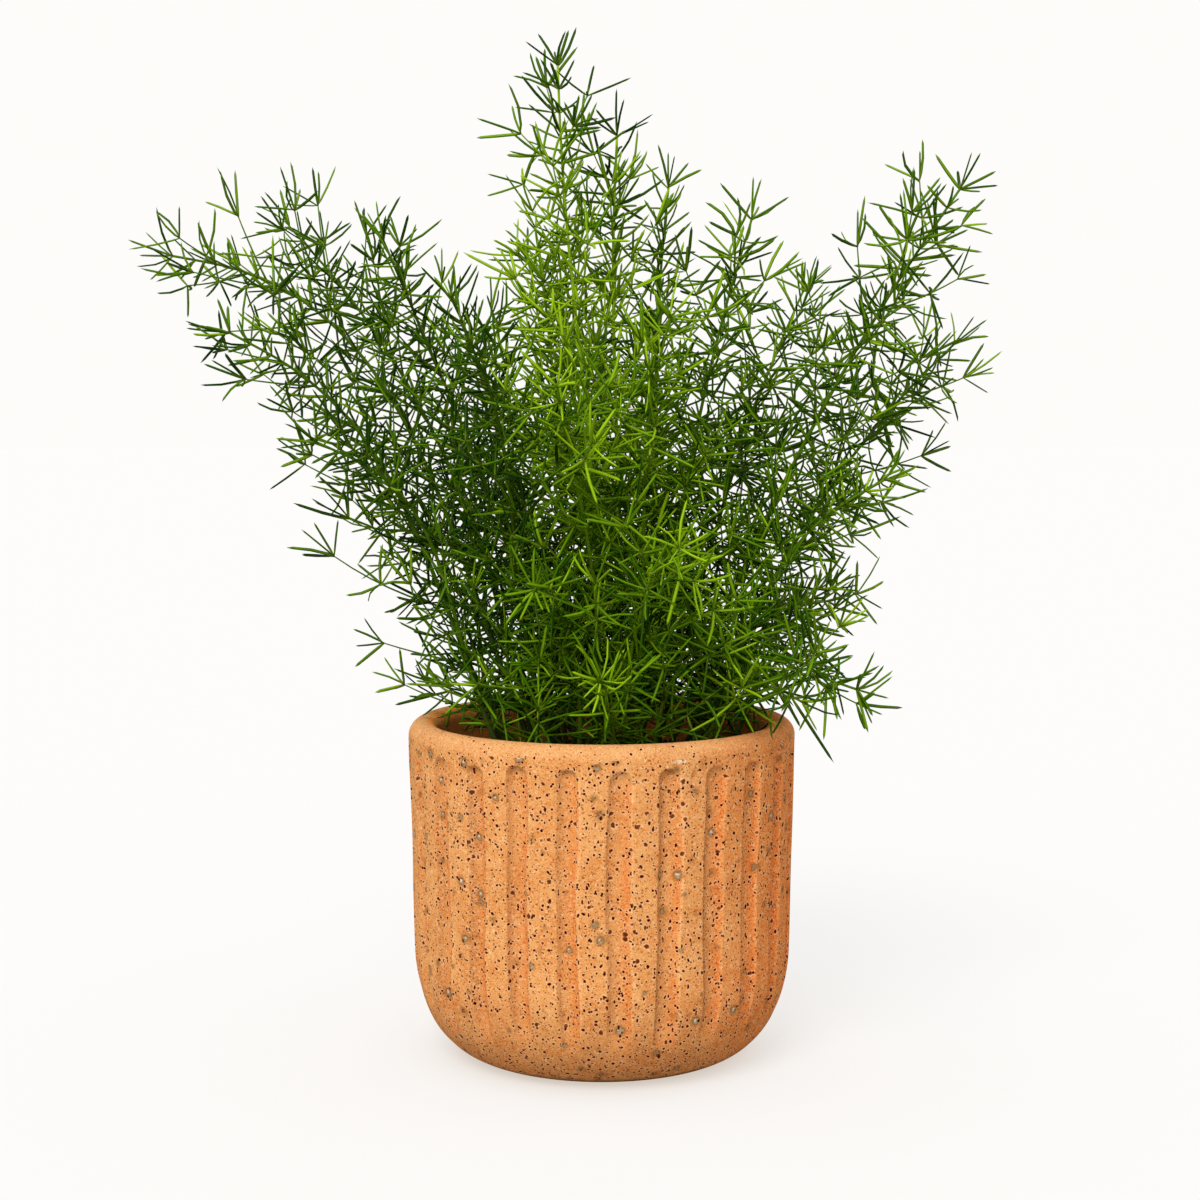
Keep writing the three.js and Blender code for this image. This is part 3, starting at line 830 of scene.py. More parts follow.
def specks_group() -> Tree:
    """Makes the group that scatters round specks through a body, such as pits, grit and grains.

    Returns:
        The group. Its mask is 1 in a speck, its core 1 in a speck's middle, its halo 1 in a ring round it,
        and its pick a number of each speck's own.
    """
    tree = bpy.data.node_groups.new("Specks", "ShaderNodeTree")
    nodes = Nodes(tree)
    tree.interface.new_socket("Place", in_out="INPUT", socket_type="NodeSocketVector")
    for name in ("Spacing", "Least", "Most", "Share"):
        tree.interface.new_socket(name, in_out="INPUT", socket_type="NodeSocketFloat")
    for name in ("Mask", "Core", "Halo", "Pick"):
        tree.interface.new_socket(name, in_out="OUTPUT", socket_type="NodeSocketFloat")
    given, put = nodes.add("NodeGroupInput").outputs, nodes.add("NodeGroupOutput").inputs
    scale = nodes.math("DIVIDE", 1.0, given["Spacing"])
    inputs = {"Vector": given["Place"], "Scale": scale}
    cells = nodes.add("ShaderNodeTexVoronoi", inputs, feature="F1").outputs
    distance = nodes.times(cells["Distance"], given["Spacing"])
    own = nodes.add("ShaderNodeSeparateColor", {0: cells["Color"]}).outputs
    spread = nodes.less(given["Most"], given["Least"])
    radius = nodes.math("ADD", given["Least"], nodes.times(spread, own[0]))
    there = nodes.math("LESS_THAN", own[1], given["Share"])
    depth = nodes.math("DIVIDE", nodes.less(radius, distance), radius)
    mask = nodes.ranged(depth, -0.38, -0.12)
    masks = {
        "Mask": mask,
        "Core": nodes.ranged(depth, 0.0, 0.2),
        "Halo": nodes.less(nodes.ranged(depth, -1.2, -0.5), mask),
    }
    for name, value in masks.items():
        nodes.feed(put[name], nodes.times(value, there))
    nodes.feed(put["Pick"], own[2])
    return tree


@dataclass(frozen=True)
class TerracottaFinish:
    """Unglazed apricot clay full of small dark pits, grit and grey stone.

    The kinds of specks are given by their spacing and their least and most radius, in millimetres.
    """

    clay: Triple = (0.67, 0.292, 0.087)
    pale: Triple = (0.79, 0.432, 0.172)
    # Pale crumb colour of the fine speckle, and also the painted highlight on the flutes' right crests.
    crumb: Triple = (0.91, 0.53, 0.24)
    # Warm multiply for the painted shade on the right side and towards the bottom.
    painted_warm_shade: Triple = (1.0, 0.74, 0.53)
    # Rust colour of random patches, and also the painted glow of the flutes' lit right walls.
    rust_and_lit_glow: Triple = (0.70, 0.212, 0.038)
    # Painted shade colour for the flutes' left walls.
    dull: Triple = (0.43, 0.175, 0.055)
    pit: Triple = (0.018, 0.001, 0.0)
    pit_edge: Triple = (0.25, 0.030, 0.0)
    cream: Triple = (0.96, 0.66, 0.38)
    brown: Triple = (0.23, 0.068, 0.010)
    freckle: Triple = (0.28, 0.062, 0.003)
    stone: Triple = (0.19, 0.145, 0.078)
    pale_stone: Triple = (0.40, 0.35, 0.235)
    stone_edge: Triple = (0.20, 0.112, 0.046)
    glint: Triple = (0.80, 0.72, 0.56)
    lip: Triple = (0.56, 0.32, 0.148)
    chalk: Triple = (0.86, 0.76, 0.62)
    # The inner wall's clay, painted brighter and more saturated as a warm bounce glow in its shade.
    lining: Triple = (0.90, 0.34, 0.062)
    # Dark brown of the painted contact shadow along the pot's bottom edge.
    foot: Triple = (0.19, 0.085, 0.035)
    tiny: Triple = (1.2, 0.15, 0.31)
    small: Triple = (2.25, 0.30, 0.54)
    long: Triple = (2.3, 0.23, 0.42)
    large: Triple = (4.6, 0.43, 0.82)
    grit: Triple = (7.6, 0.68, 1.55)
    spark: Triple = (7.6, 0.3, 0.7)
    rim: float = 134.5 * MM
    scuff_place: Triple = (29.5 * MM, -74.5 * MM, 132.5 * MM)
    scuff_size: Triple = (4.6 * MM, 4.6 * MM, 0.9 * MM)
    roughness: float = 0.82

    def material(self, specks: Tree) -> bpy.types.Material:
        """Makes the material.

        Args:
            specks: The group that scatters specks.

        Returns:
            The material. It reads the pot's attributes for painted glow, painted shade, painted highlight
            and inside.
        """
        material, nodes, shader = new_material("terracotta", self.roughness, 0.02)
        place = nodes.place()
        below_rim = nodes.ranged(nodes.parts(place)[2], self.rim + 2 * MM, self.rim - 2.5 * MM)
        below_rim = nodes.math("SUBTRACT", below_rim, nodes.attribute("inside"), clamp=True)
        bent = nodes.bent(place, 2.4 * MM, 1.5 * MM)
        ragged = nodes.bent(bent, 0.9 * MM, 0.8 * MM)
        drawn = nodes.mapped(bent, Rotation=(0.1, 0.5, 0.0), Scale=(1.0, 1.0, 0.5))
        moved = nodes.mapped(ragged, Location=(0.3 * MM, 0.0, -0.35 * MM))
        many = nodes.math("ADD", nodes.times(below_rim, 0.7), 0.14)
        half, fewer, some = (nodes.times(below_rim, share) for share in (0.5, 0.4, 0.62))
        kinds = (
            (self.tiny, bent, many), (self.small, bent, many), (self.long, drawn, half),
            (self.large, ragged, fewer), (self.grit, ragged, some), (self.spark, moved, some),
        )
        tiny, small, long, large, grit, spark = (nodes.scattered(specks, *kind) for kind in kinds)
        pits, rings, black = (
            nodes.math("MAXIMUM", small[name], long[name]) for name in ("Mask", "Halo", "Core")
        )
        speckled = nodes.ranged(nodes.noise(bent, 0.7 * MM), 0.35, 0.65)
        speckled = nodes.times(speckled, nodes.math("ADD", grit["Pick"], 0.3))
        grey = nodes.mix(speckled, self.stone, self.pale_stone)
        grey = nodes.mix(grit["Core"], self.stone_edge, grey)
        colour = nodes.coats(
            self.clay_colour(nodes, place, bent, below_rim),
            (rings, 0.38, self.cream),
            (large["Halo"], 0.3, self.cream),
            (grit["Halo"], 0.35, self.brown),
            (grit["Mask"], 0.8, nodes.coats(grey, (spark["Core"], 0.8, self.glint))),
            (tiny["Mask"], 0.75, self.freckle),
            (large["Mask"], 0.88, nodes.mix(large["Core"], self.pit_edge, self.pit)),
            (pits, 0.92, self.pit_edge),
            (black, 1.0, self.pit),
            (self.scuff(nodes, place), 1.0, self.chalk),
        )
        nodes.feed(shader["Base Color"], colour)
        least, most = self.roughness - 0.1, self.roughness + 0.1
        nodes.feed(shader["Roughness"], nodes.ranged(nodes.noise(place, 2.4 * MM), 0.3, 0.7, (least, most)))
        grain = nodes.ranged(nodes.noise(bent, 1.1 * MM, 3.0, 1.6), 0.34, 0.66)
        hollow = nodes.math("MAXIMUM", pits, nodes.times(large["Mask"], 0.8))
        relief = nodes.less(nodes.times(grain, 0.16), hollow)
        for kind, depth in ((tiny, 0.4), (grit, 0.3)):
            relief = nodes.less(relief, nodes.times(kind["Mask"], depth))
        nodes.feed(shader["Normal"], nodes.bumps(relief, 0.8, 0.45 * MM))
        return material

    def clay_colour(self, nodes: Nodes, place: Socket, bent: Socket, below_rim: Socket) -> Socket:
        """Mixes the clay itself: cloudy, veined, rusty in patches, pale on the lip, with light and shade
        painted in.

        The flutes get a painted glow on their lit right walls, painted shade on their left walls and a
        painted highlight on their right crests. The inner wall gets a painted warm bounce glow, the right
        side and the bottom warmer painted shade, and the foot a painted contact shadow.

        Args:
            nodes: The material's nodes.
            place: The places on the pot.
            bent: The same, pushed about.
            below_rim: A mask that is 1 below the lip.

        Returns:
            The colour.
        """
        upright = nodes.mapped(place, Scale=(1.0, 1.0, 0.3))
        streak = nodes.ranged(nodes.noise(upright, 7 * MM), 0.32, 0.62, (0.5, 1.0))
        colour = nodes.coats(
            self.clay,
            (nodes.ranged(nodes.noise(place, 15 * MM, 3.0), 0.36, 0.64), 0.5, self.pale),
            (nodes.ranged(nodes.noise(bent, 4.5 * MM, 3.0, 0.6), 0.38, 0.62), 0.38, self.pale),
            # Painted light: the warm glow of each flute's right wall, which faces the key light. It is
            # strongest there and faint over the whole flute.
            (nodes.times(nodes.attribute("stain"), streak), 0.66, self.rust_and_lit_glow),
            # Painted shade along each flute's left wall, which faces away from the key light.
            (nodes.attribute("shade"), 0.5, self.dull),
            (nodes.ranged(nodes.noise(bent, 7 * MM, 3.0), 0.56, 0.72), 0.35, self.rust_and_lit_glow),
            # Painted highlight along each flute's right crest, in the crumb colour.
            (nodes.attribute("worn"), 0.6, self.crumb),
            (nodes.less(1.0, below_rim), 0.6, self.lip),
            # The inner wall's clay, painted brighter and more saturated as warm bounce light in its shade.
            (nodes.attribute("inside"), 1.0, self.lining),
        )
        # Painted shade: the right side, away from the key light, and the bottom turn warmer and darker.
        x, _, z = nodes.parts(place)
        drift = nodes.times(nodes.noise(place, 40 * MM, 1.0), 40 * MM)
        right = nodes.ranged(nodes.math("ADD", x, drift), 44 * MM, 92 * MM)
        low = nodes.ranged(nodes.less(z, drift), 26 * MM, -22 * MM, (0.0, 0.5))
        colour = nodes.mix(nodes.math("MAXIMUM", right, low), colour, self.painted_warm_shade, "MULTIPLY")
        # Painted contact shadow: darker brown in the lowest few millimetres, where the pot meets the floor.
        colour = nodes.mix(nodes.ranged(z, 4.6 * MM, 2.0 * MM, (0.0, 0.75)), colour, self.foot)
        for size, share in ((1.7 * MM, 0.75), (1.0 * MM, 0.6)):
            line = nodes.math("ABSOLUTE", nodes.less(nodes.noise(bent, size, 1.0, 1.2), 0.5))
            vein = nodes.less(1.0, nodes.ranged(line, 0.0, 0.05))
            colour = nodes.mix(nodes.times(vein, share), colour, self.brown, "SOFT_LIGHT")
        fine = nodes.ranged(nodes.noise(place, 0.65 * MM, 1.0), 0.42, 0.68, (0.0, 0.34))
        return nodes.mix(fine, colour, self.crumb)

    def scuff(self, nodes: Nodes, place: Socket) -> Socket:
        """Masks the small chalky scuff under the lip, right of the front.

        Args:
            nodes: The material's nodes.
            place: The places on the pot.

        Returns:
            The mask.
        """
        off = nodes.vector("SUBTRACT", place, self.scuff_place)
        far = nodes.vector("LENGTH", nodes.vector("DIVIDE", off, self.scuff_size))
        broken = nodes.ranged(nodes.noise(place, 0.9 * MM), 0.44, 0.6)
        return nodes.times(nodes.ranged(far, 1.0, 0.7, (0.0, 0.85)), broken)


@dataclass(frozen=True)
class FoliageFinish:
    """The waxy green of needles and shoots, from deep green to fresh yellow green."""

    deep: Triple = (0.008, 0.034, 0.0004)
    full: Triple = (0.043, 0.122, 0.0011)
    light: Triple = (0.122, 0.252, 0.0025)
    fresh: Triple = (0.262, 0.445, 0.008)
    base: Triple = (0.19, 0.31, 0.016)
    bark: Triple = (0.040, 0.062, 0.012)
    roughness: float = 0.48

    def material(self) -> bpy.types.Material:
        """Makes the material, which reads the attributes tone, along and wood.

        Returns:
            The material.
        """
        material, nodes, shader = new_material("foliage", self.roughness, 0.04)
        streaks = nodes.times(nodes.less(nodes.noise(nodes.place(), 3.5 * MM), 0.5), 0.16)
        ramp = nodes.add("ShaderNodeValToRGB", {"Fac": nodes.math("ADD", nodes.attribute("tone"), streaks)})
        stops = ramp.color_ramp.elements
        stops[0].color, stops[1].color = (*self.deep, 1), (*self.fresh, 1)
        for position, colour in ((0.34, self.full), (0.66, self.light)):
            stops.new(position).color = (*colour, 1)
        near = nodes.ranged(nodes.attribute("along"), 0.34, 0.0, (0.0, 0.6))
        colour = nodes.mix(near, ramp.outputs["Color"], self.base)
        nodes.feed(shader["Base Color"], nodes.mix(nodes.attribute("wood"), colour, self.bark))
        return material


@dataclass(frozen=True)
class LooseFinish:
    """The dull finish of what lies in the pot: soil or bark."""

    name: str
    dark: Triple
    light: Triple
    grain: float
    roughness: float = 0.95

    def material(self) -> bpy.types.Material:
        """Makes the material.

        Returns:
            The material.
        """
        material, nodes, shader = new_material(self.name, self.roughness, 0.2)
        place = nodes.place()
        fine = nodes.ranged(nodes.noise(place, self.grain, 4.0), 0.3, 0.7)
        broad = nodes.ranged(nodes.noise(place, 6 * self.grain), 0.35, 0.65)
        share = nodes.times(nodes.math("ADD", fine, broad), 0.5)
        nodes.feed(shader["Base Color"], nodes.mix(share, self.dark, self.light))
        nodes.feed(shader["Normal"], nodes.bumps(fine, 0.6, 0.4 * self.grain))
        return material


@dataclass
class Pot:
    """The terracotta pot: a straight wall, an elliptical foot, a round lip and 25 arched flutes."""

    radius: float = 80 * MM
    height: float = 139 * MM
    wall: float = 12 * MM
    floor: float = 12 * MM
    taper: float = 1.9 * MM
    foot_height: float = 44 * MM
    base_radius: float = 49 * MM
    flutes: int = 25
    flute_depth: float = 1.9 * MM
    flute_width: float = 9.4 * MM
    flute_top: float = 130 * MM
    flute_foot: float = 16 * MM
    first_flute: float = math.radians(274.6)
    columns: int = 24
    foot_rows: int = 38
    wall_rows: int = 28
    arch_rows: int = 25
    lip_rows: int = 20
    inner_rows: int = 8
    gathered: float = 0.7
    soil_line: float = 112 * MM
    seed: int = 5

    @property
    def lip_radius(self) -> float:
        """The radius of the lip's round."""
        return self.wall / 2

    @property
    def lip_height(self) -> float:
        """Where the wall ends and the lip's round begins."""
        return self.height - self.lip_radius

    def wall_radius(self, height: float) -> float:
        """Returns the wall's outer radius at a height above the foot."""
        share = (height - self.foot_height) / (self.lip_height - self.foot_height)
        return self.radius - self.taper * (1 - share)

    def outside(self) -> Iterator[Pair]:
        """Gives the outline from the underside's middle to the lip, closer where the flutes are arched.

        Returns:
            Its points as radius and height.
        """
        for share in (0, 0.25, 0.5, 0.75, 0.92):
            yield self.base_radius * share, 0
        reach = self.radius - self.taper - self.base_radius
        for i in range(self.foot_rows):
            turn = math.pi / 2 * i / self.foot_rows
            yield self.base_radius + reach * math.sin(turn), self.foot_height * (1 - math.cos(turn))
        crowded = self.flute_top - 10 * MM
        plain = np.linspace(self.foot_height, crowded, self.wall_rows)
        for height in (*plain, *np.linspace(crowded, self.lip_height, self.arch_rows)[1:]):
            yield self.wall_radius(height), height
        centre, curl = self.radius - self.lip_radius, self.lip_radius
        for i in range(1, self.lip_rows + 1):
            turn = math.pi * i / self.lip_rows
            yield centre + curl * math.cos(turn), self.lip_height + curl * math.sin(turn)

    def inside(self, inset: float = 0.0) -> Iterator[Pair]:
        """Gives the outline from below the lip to the middle of the floor.

        Args:
            inset: How far it is drawn in.

        Returns:
            Its points as radius and height.
        """
        lip = self.radius - self.wall - inset
        wall = lip - self.taper
        floor = self.base_radius - self.wall
        for share in np.linspace(0, 1, self.inner_rows + 1)[1:-1]:
            yield lip + (wall - lip) * share, self.lip_height + (self.foot_height - self.lip_height) * share
        width, drop = wall - floor, self.foot_height - self.floor - inset
        for i in range(self.inner_rows + 1):
            turn = math.pi / 2 * i / self.inner_rows
            yield floor + width * math.cos(turn), self.foot_height - drop * math.sin(turn)
        yield floor / 2, self.floor + inset
        yield 0, self.floor + inset

    def build(self) -> Piece:
        """Makes the pot, maps it and presses its flutes into it.

        Returns:
            The pot. Its attributes mark a painted glow in a flute's right half, painted shade along its
            left edge, a painted highlight along its right edge, and the inner wall.
        """
        outer, inner = list(self.outside()), list(self.inside())
        piece = turned("fluted_pot", [*outer, *inner], self.columns, self.flutes)
        hidden = [False] * len(outer) + [height < self.soil_line for _, height in inner]
        row = unrolled(piece.data, [*outer, *inner], hidden)
        x, y, z = positions(piece.data).T
        radius, ridge = np.hypot(x, y), self.radius - self.lip_radius
        wall = (row < len(outer)) & (z > 0.5 * MM) & ((z <= self.foot_height) | (radius > ridge))
        lining = smooth((ridge - radius) / (3 * MM)) * (~wall & (z > self.floor / 2))
        plain = np.arctan2(y, x) - self.first_flute
        edges = 2 * self.flutes
        angle = plain + self.gathered / edges * np.sin(edges * plain)
        # The flutes' painted light: a glow on each lit right wall, shade on each left wall and a highlight
        # on each right crest.
        groove, stain, shade, worn = (share * wall for share in self.flute(angle, z))
        radius = radius - self.flute_depth * groove + self.unevenness(angle, z) * wall
        angle = angle + self.first_flute
        moved(piece.data, np.stack([radius * np.cos(angle), radius * np.sin(angle), z], axis=1))
        marked(piece.data, stain=stain, shade=shade, worn=worn, inside=lining)
        return piece

    def flute(self, angle: Array, height: Array) -> tuple[Array, ...]:
        """Works out how deep each point lies in its flute.

        Args:
            angle: The points' directions from the middle of the first flute.
            height: Their heights.

        Returns:
            The share of the flutes' depth, and a point's painted glow, painted shade and painted highlight.
        """
        rng = np.random.default_rng(self.seed)
        period = 2 * math.pi / self.flutes
        number = np.round(angle / period).astype(int) % self.flutes

        def own(low: float, high: float) -> Array:
            """Gives each flute a number of its own, and each point that of its flute."""
            return rng.uniform(low, high, self.flutes)[number]

        def wave(length: float, size: float) -> Array:
            """Gives each point a slow swing along its flute."""
            return size * np.sin(height / length + own(0, 2 * math.pi))

        drift = own(-0.5, 0.5) * MM + wave(15 * MM, 0.42 * MM) + wave(6.5 * MM, 0.14 * MM)
        half = self.flute_width / 2 * own(0.9, 1.08) + wave(10 * MM, 0.26 * MM) + wave(4.6 * MM, 0.1 * MM)
        top = self.flute_top + own(-1.1, 0.7) * MM
        arch = own(0.8, 1.25)
        depth = own(0.8, 1.15)
        across = (angle - np.round(angle / period) * period) * self.radius - drift
        above = np.maximum(height - (top - half * arch), 0) / arch
        within = half - np.hypot(across, above)
        step = smooth(within / (1.35 * MM))
        gouge = 1 - (1 - np.clip(within / half, 0, 1)) ** 2
        foot = smooth((height - self.flute_foot) / (17 * MM))
        groove = depth * (0.5 * step + 0.62 * gouge) * foot
        # Painted light: the warm orange glow and bounce of the flute's right wall, which faces the key
        # light.
        right = np.exp(-(((half - across) / (2.3 * MM) - 0.7) ** 2)) * smooth(within / (0.7 * MM))
        # Painted shade along the flute's left wall, which faces away from the key light.
        left = np.exp(-(((half + across) / (3.0 * MM) - 0.1) ** 2)) * smooth(within / (0.5 * MM) + 0.6)
        low = smooth((height - 0.6 * self.flute_foot) / (26 * MM))
        ends = low * smooth((top - height) / (12 * MM) + 0.1)
        # Painted highlight along the flute's right edge.
        crest = np.exp(-((within / (0.55 * MM) + 0.2) ** 2)) * (across > 0) * foot * own(0.3, 1.0)
        return groove, (right + 0.22 * step) * ends * own(0.75, 1.1), left * foot * own(0.6, 1.1), crest

    def unevenness(self, angle: Array, height: Array) -> Array:
        """Gives the slight waves of a wall shaped by hand, faded out at the lip and the foot.

        Args:
            angle: The points' angles round the pot.
            height: Their heights.

        Returns:
            How far each point is moved outwards.
        """
        rng = np.random.default_rng(self.seed + 1)
        waves = np.zeros_like(angle)
        for _ in range(14):
            turns, rise, phase = rng.integers(2, 40), rng.uniform(-1, 1) / (9 * MM), rng.uniform(0, 6.28)
            waves = waves + np.sin(turns * angle + rise * height + phase) * 0.05 * MM
        return waves * smooth((self.height - height) / (9 * MM)) * smooth((height - 2 * MM) / (12 * MM))

    def dress(self, piece: Piece, specks: Tree) -> None:
        """Gives the pot its finish and its place on the frame.

        Args:
            piece: The pot.
            specks: The group that scatters specks.
        """
        piece.data.materials.append(TerracottaFinish().material(specks))
        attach(piece, BODY)
        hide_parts("pot")


@dataclass
class PottingSoil:
    """The potting soil: an uneven bed with crumbs and chips of bark on it."""

    pot: Pot
    top: float = 120 * MM
    gap: float = 0.35 * MM
    rings: int = 45
    columns: int = 6
    sectors: int = 25
    crumbs: int = 2600
    chips: int = 230
    seed: int = 11

    @property
    def edge(self) -> float:
        """The bed's radius at its top."""
        share = (self.pot.lip_height - self.top) / (self.pot.lip_height - self.pot.foot_height)
        return self.pot.radius - self.pot.wall - self.pot.taper * share - self.gap

    def surface(self, x: Array, y: Array) -> Array:
        """Gives the soil's height at places.

        Args:
            x: Their distances to the right of the axis.
            y: Their distances behind it.

        Returns:
            The heights.
        """
        u, v = x / MM, y / MM
        waves = 1.1 * np.sin(u / 8 + 1) * np.cos(v / 10)
        waves = waves + 0.7 * np.sin((u + v) / 6) + 0.5 * np.cos(u / 4 - v / 5)
        return self.top + MM * (waves + 0.35 * np.sin(u / 1.9 + 2) * np.sin(v / 2.3) - 0.3)

    def build(self) -> dict[str, Piece]:
        """Makes the bed and what lies on it.

        Returns:
            The pieces by name.
        """
        walls = [p for p in self.pot.inside(self.gap) if p[1] < self.top - 4 * MM]
        rings = [(self.edge * share, self.top) for share in np.linspace(0, 1, self.rings + 1)[1:]]
        profile = [*reversed(walls), *reversed(rings), (0, self.top)]
        bed = turned("soil_bed", profile, self.columns, self.sectors)
        unrolled(bed.data, profile, [height < self.top for _, height in profile])
        points = positions(bed.data)
        top = points[:, 2] > self.top - 0.1 * MM
        points[top, 2] = self.surface(*points[top, :2].T)
        moved(bed.data, points)
        crumbs = self.scattered("soil_crumbs", Shape.pebble(1), self.crumbs, (0.5, 1.5), 0.75, self.seed)
        bark = self.scattered("bark_chips", Shape.chip(), self.chips, (1.3, 3.6), 0.3, self.seed + 2)
        return {"bed": bed, "crumbs": crumbs, "bark": bark}

    def scattered(
        self, name: str, shape: Shape, count: int, sizes: Pair, flatness: float, seed: int
    ) -> Piece:
        """Scatters copies of a shape over the bed, half sunk in it.

        Args:
            name: The new object's name.
            shape: The shape.
            count: How many copies there are.
            sizes: Their least and most radius, in millimetres.
            flatness: How thick they are, as a share of their width.
            seed: The seed of the draws.

        Returns:
            The object that holds them.
        """
        rng = np.random.default_rng(seed)
        size = rng.uniform(*sizes, count) * MM
        turn = rng.uniform(0, 2 * math.pi, count)
        away = (self.edge - size * 1.3) * np.sqrt(rng.uniform(0, 1, count))
        x, y = away * np.cos(turn), away * np.sin(turn)
        centre = np.stack([x, y, self.surface(x, y) + 0.25 * size * flatness], axis=1)
        axes = unit(rng.normal(size=(count, 3)) * (0.45, 0.45, 1) + (0, 0, 0.8))
        across = unit(np.cross(axes, rng.normal(size=(count, 3))))
        third = np.cross(axes, across)
        long = rng.uniform(0.8, 1.5, count)
        knobs = rng.uniform(0.78, 1.16, (count, len(shape.corners)))
        x, y, z = np.split(shape.corners[None] * knobs[..., None] * size[:, None, None], 3, axis=2)
        run = x * (across * long[:, None])[:, None] + y * third[:, None] * 0.8
        stack = Stack()
        stack.add(shape, centre[:, None] + (run + z * axes[:, None] * flatness))
        return stack.piece(name, rounded=False)

    def dress(self, pieces: dict[str, Piece]) -> None:
        """Gives the bed and what lies on it their finishes and their places on the frame.

        Args:
            pieces: The pieces by name.
        """
        finishes = {
            "bed": LooseFinish("potting_soil", (0.012, 0.008, 0.005), (0.06, 0.038, 0.022), 1.2 * MM),
            "crumbs": LooseFinish("soil_crumb", (0.016, 0.010, 0.006), (0.085, 0.052, 0.030), 1.6 * MM),
            "bark": LooseFinish("bark_chip", (0.055, 0.028, 0.014), (0.19, 0.105, 0.052), 2.2 * MM),
        }
        for part, piece in pieces.items():
            piece.data.materials.append(finishes[part].material())
            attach(piece, BODY)
        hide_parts("potting_soil")


@dataclass
class Needles:
    """Needles gathered one whorl at a time: each whorl's feet, ways, lengths and tones."""

    rng: np.random.Generator
    whorls: list[tuple[Array, ...]] = field(default_factory=list)
    # How much lighter the ridges are than the side edges: partly a pale midrib, partly painted shading
    # across the needle.
    ridge: float = 0.14

    def whorl(self, place: Frame, kind: Whorl, tone: float) -> None:
        """Adds one whorl.

        Args:
            place: Where it stands.
            kind: How its needles stand.
            tone: Their tone, which varies a little.
        """
        rng, (fewest, most) = self.rng, kind.count
        count = int(rng.integers(fewest, most + 1))
        gap = 2 * math.pi / count
        turn = rng.uniform(0, 2 * math.pi) + gap * (np.arange(count) + rng.uniform(-0.3, 0.3, count))
        way = place.towards(np.radians(rng.uniform(*kind.cone, count)), turn)
        foot = place.centre + rng.uniform(-0.4, 0.4, count)[:, None] * MM * place.ahead
        lengths = rng.uniform(*kind.length, count) * MM
        spread = 0.62 + 0.42 * max(tone, 0)
        tones = tone + spread * (rng.normal(0, 0.14) + rng.normal(0, 0.24, count))
        self.whorls.append((foot, way, lengths, tones))

    @staticmethod
    def curve(share: Any) -> Any:
        """Returns how far along its bend a needle is at a share of its length."""
        return share * (share - 0.35)

    def stand(self, clear: "Clearance", shape: Shape, width: float, stack: Stack) -> None:
        """Bends the needles and adds a copy of a shape for each that keeps clear of the pot and the soil.

        Args:
            clear: The room that foliage has.
            shape: The unit needle.
            width: Half a needle's width.
            stack: The stack to add to.
        """
        rng = self.rng
        foot, way, length, tone = (np.concatenate(rows) for rows in zip(*self.whorls))
        strength = rng.uniform(0.03, 0.62, (len(foot), 1)) ** 1.4
        bend = strength * unit(rng.normal(size=way.shape) + 0.5 * UP)
        middle, tip = (foot + (way * s + bend * self.curve(s)) * length[:, None] for s in (0.55, 1.0))
        kept = clear.of(foot, middle) & clear.of(middle, tip)
        foot, way, bend, length, tone = (rows[kept] for rows in (foot, way, bend, length, tone))
        side = unit(np.cross(way, rng.normal(size=way.shape)))
        other = np.cross(side, way)
        half = width * rng.uniform(0.82, 1.15, len(way)) * (length / (14 * MM)) ** 0.35
        x, y, z = np.split(shape.corners[None], 3, axis=2)
        run = way[:, None] * z + bend[:, None] * self.curve(z)
        across = x * side[:, None] + 0.75 * y * other[:, None]
        places = foot[:, None] + run * length[:, None, None] + across * half[:, None, None]
        # Lighter along the ridges and darker at the side edges: partly a pale midrib, partly painted
        # shading of the rounded needle.
        ridge = self.ridge * (np.abs(y) - np.abs(x))[..., 0]
        along = np.broadcast_to(z[..., 0], places.shape[:2])
        stack.add(shape, places, tone=tone[:, None] + ridge, along=along, wood=np.zeros(len(way)))


@dataclass(frozen=True)
class Clearance:
    """The room that foliage has: above the soil, and outside the pot's wall and lip."""

    pot: Pot
    soil_top: float
    lip: float = 0.7 * MM
    soil: float = 1.6 * MM

    def of(self, a: Array, b: Array) -> Array:
        """Tells which straight runs stay clear.

        Args:
            a: Where each run starts.
            b: Where it ends.

        Returns:
            Whether each stays clear.
        """
        clear = np.ones(len(a), bool)
        centre, reach = self.pot.radius - self.pot.lip_radius, self.pot.lip_radius + self.lip
        for share in np.linspace(0.15, 1, 7):
            point = a + (b - a) * share
            radius, height = np.hypot(point[:, 0], point[:, 1]), point[:, 2]
            off_lip = np.hypot(radius - centre, np.maximum(0, height - self.pot.lip_height))
            in_lip = (height < self.pot.lip_height + reach) & (off_lip < reach)
            in_soil = (radius < centre) & (height < self.soil_top + self.soil)
            clear &= ~(in_lip | in_soil)
        return clear


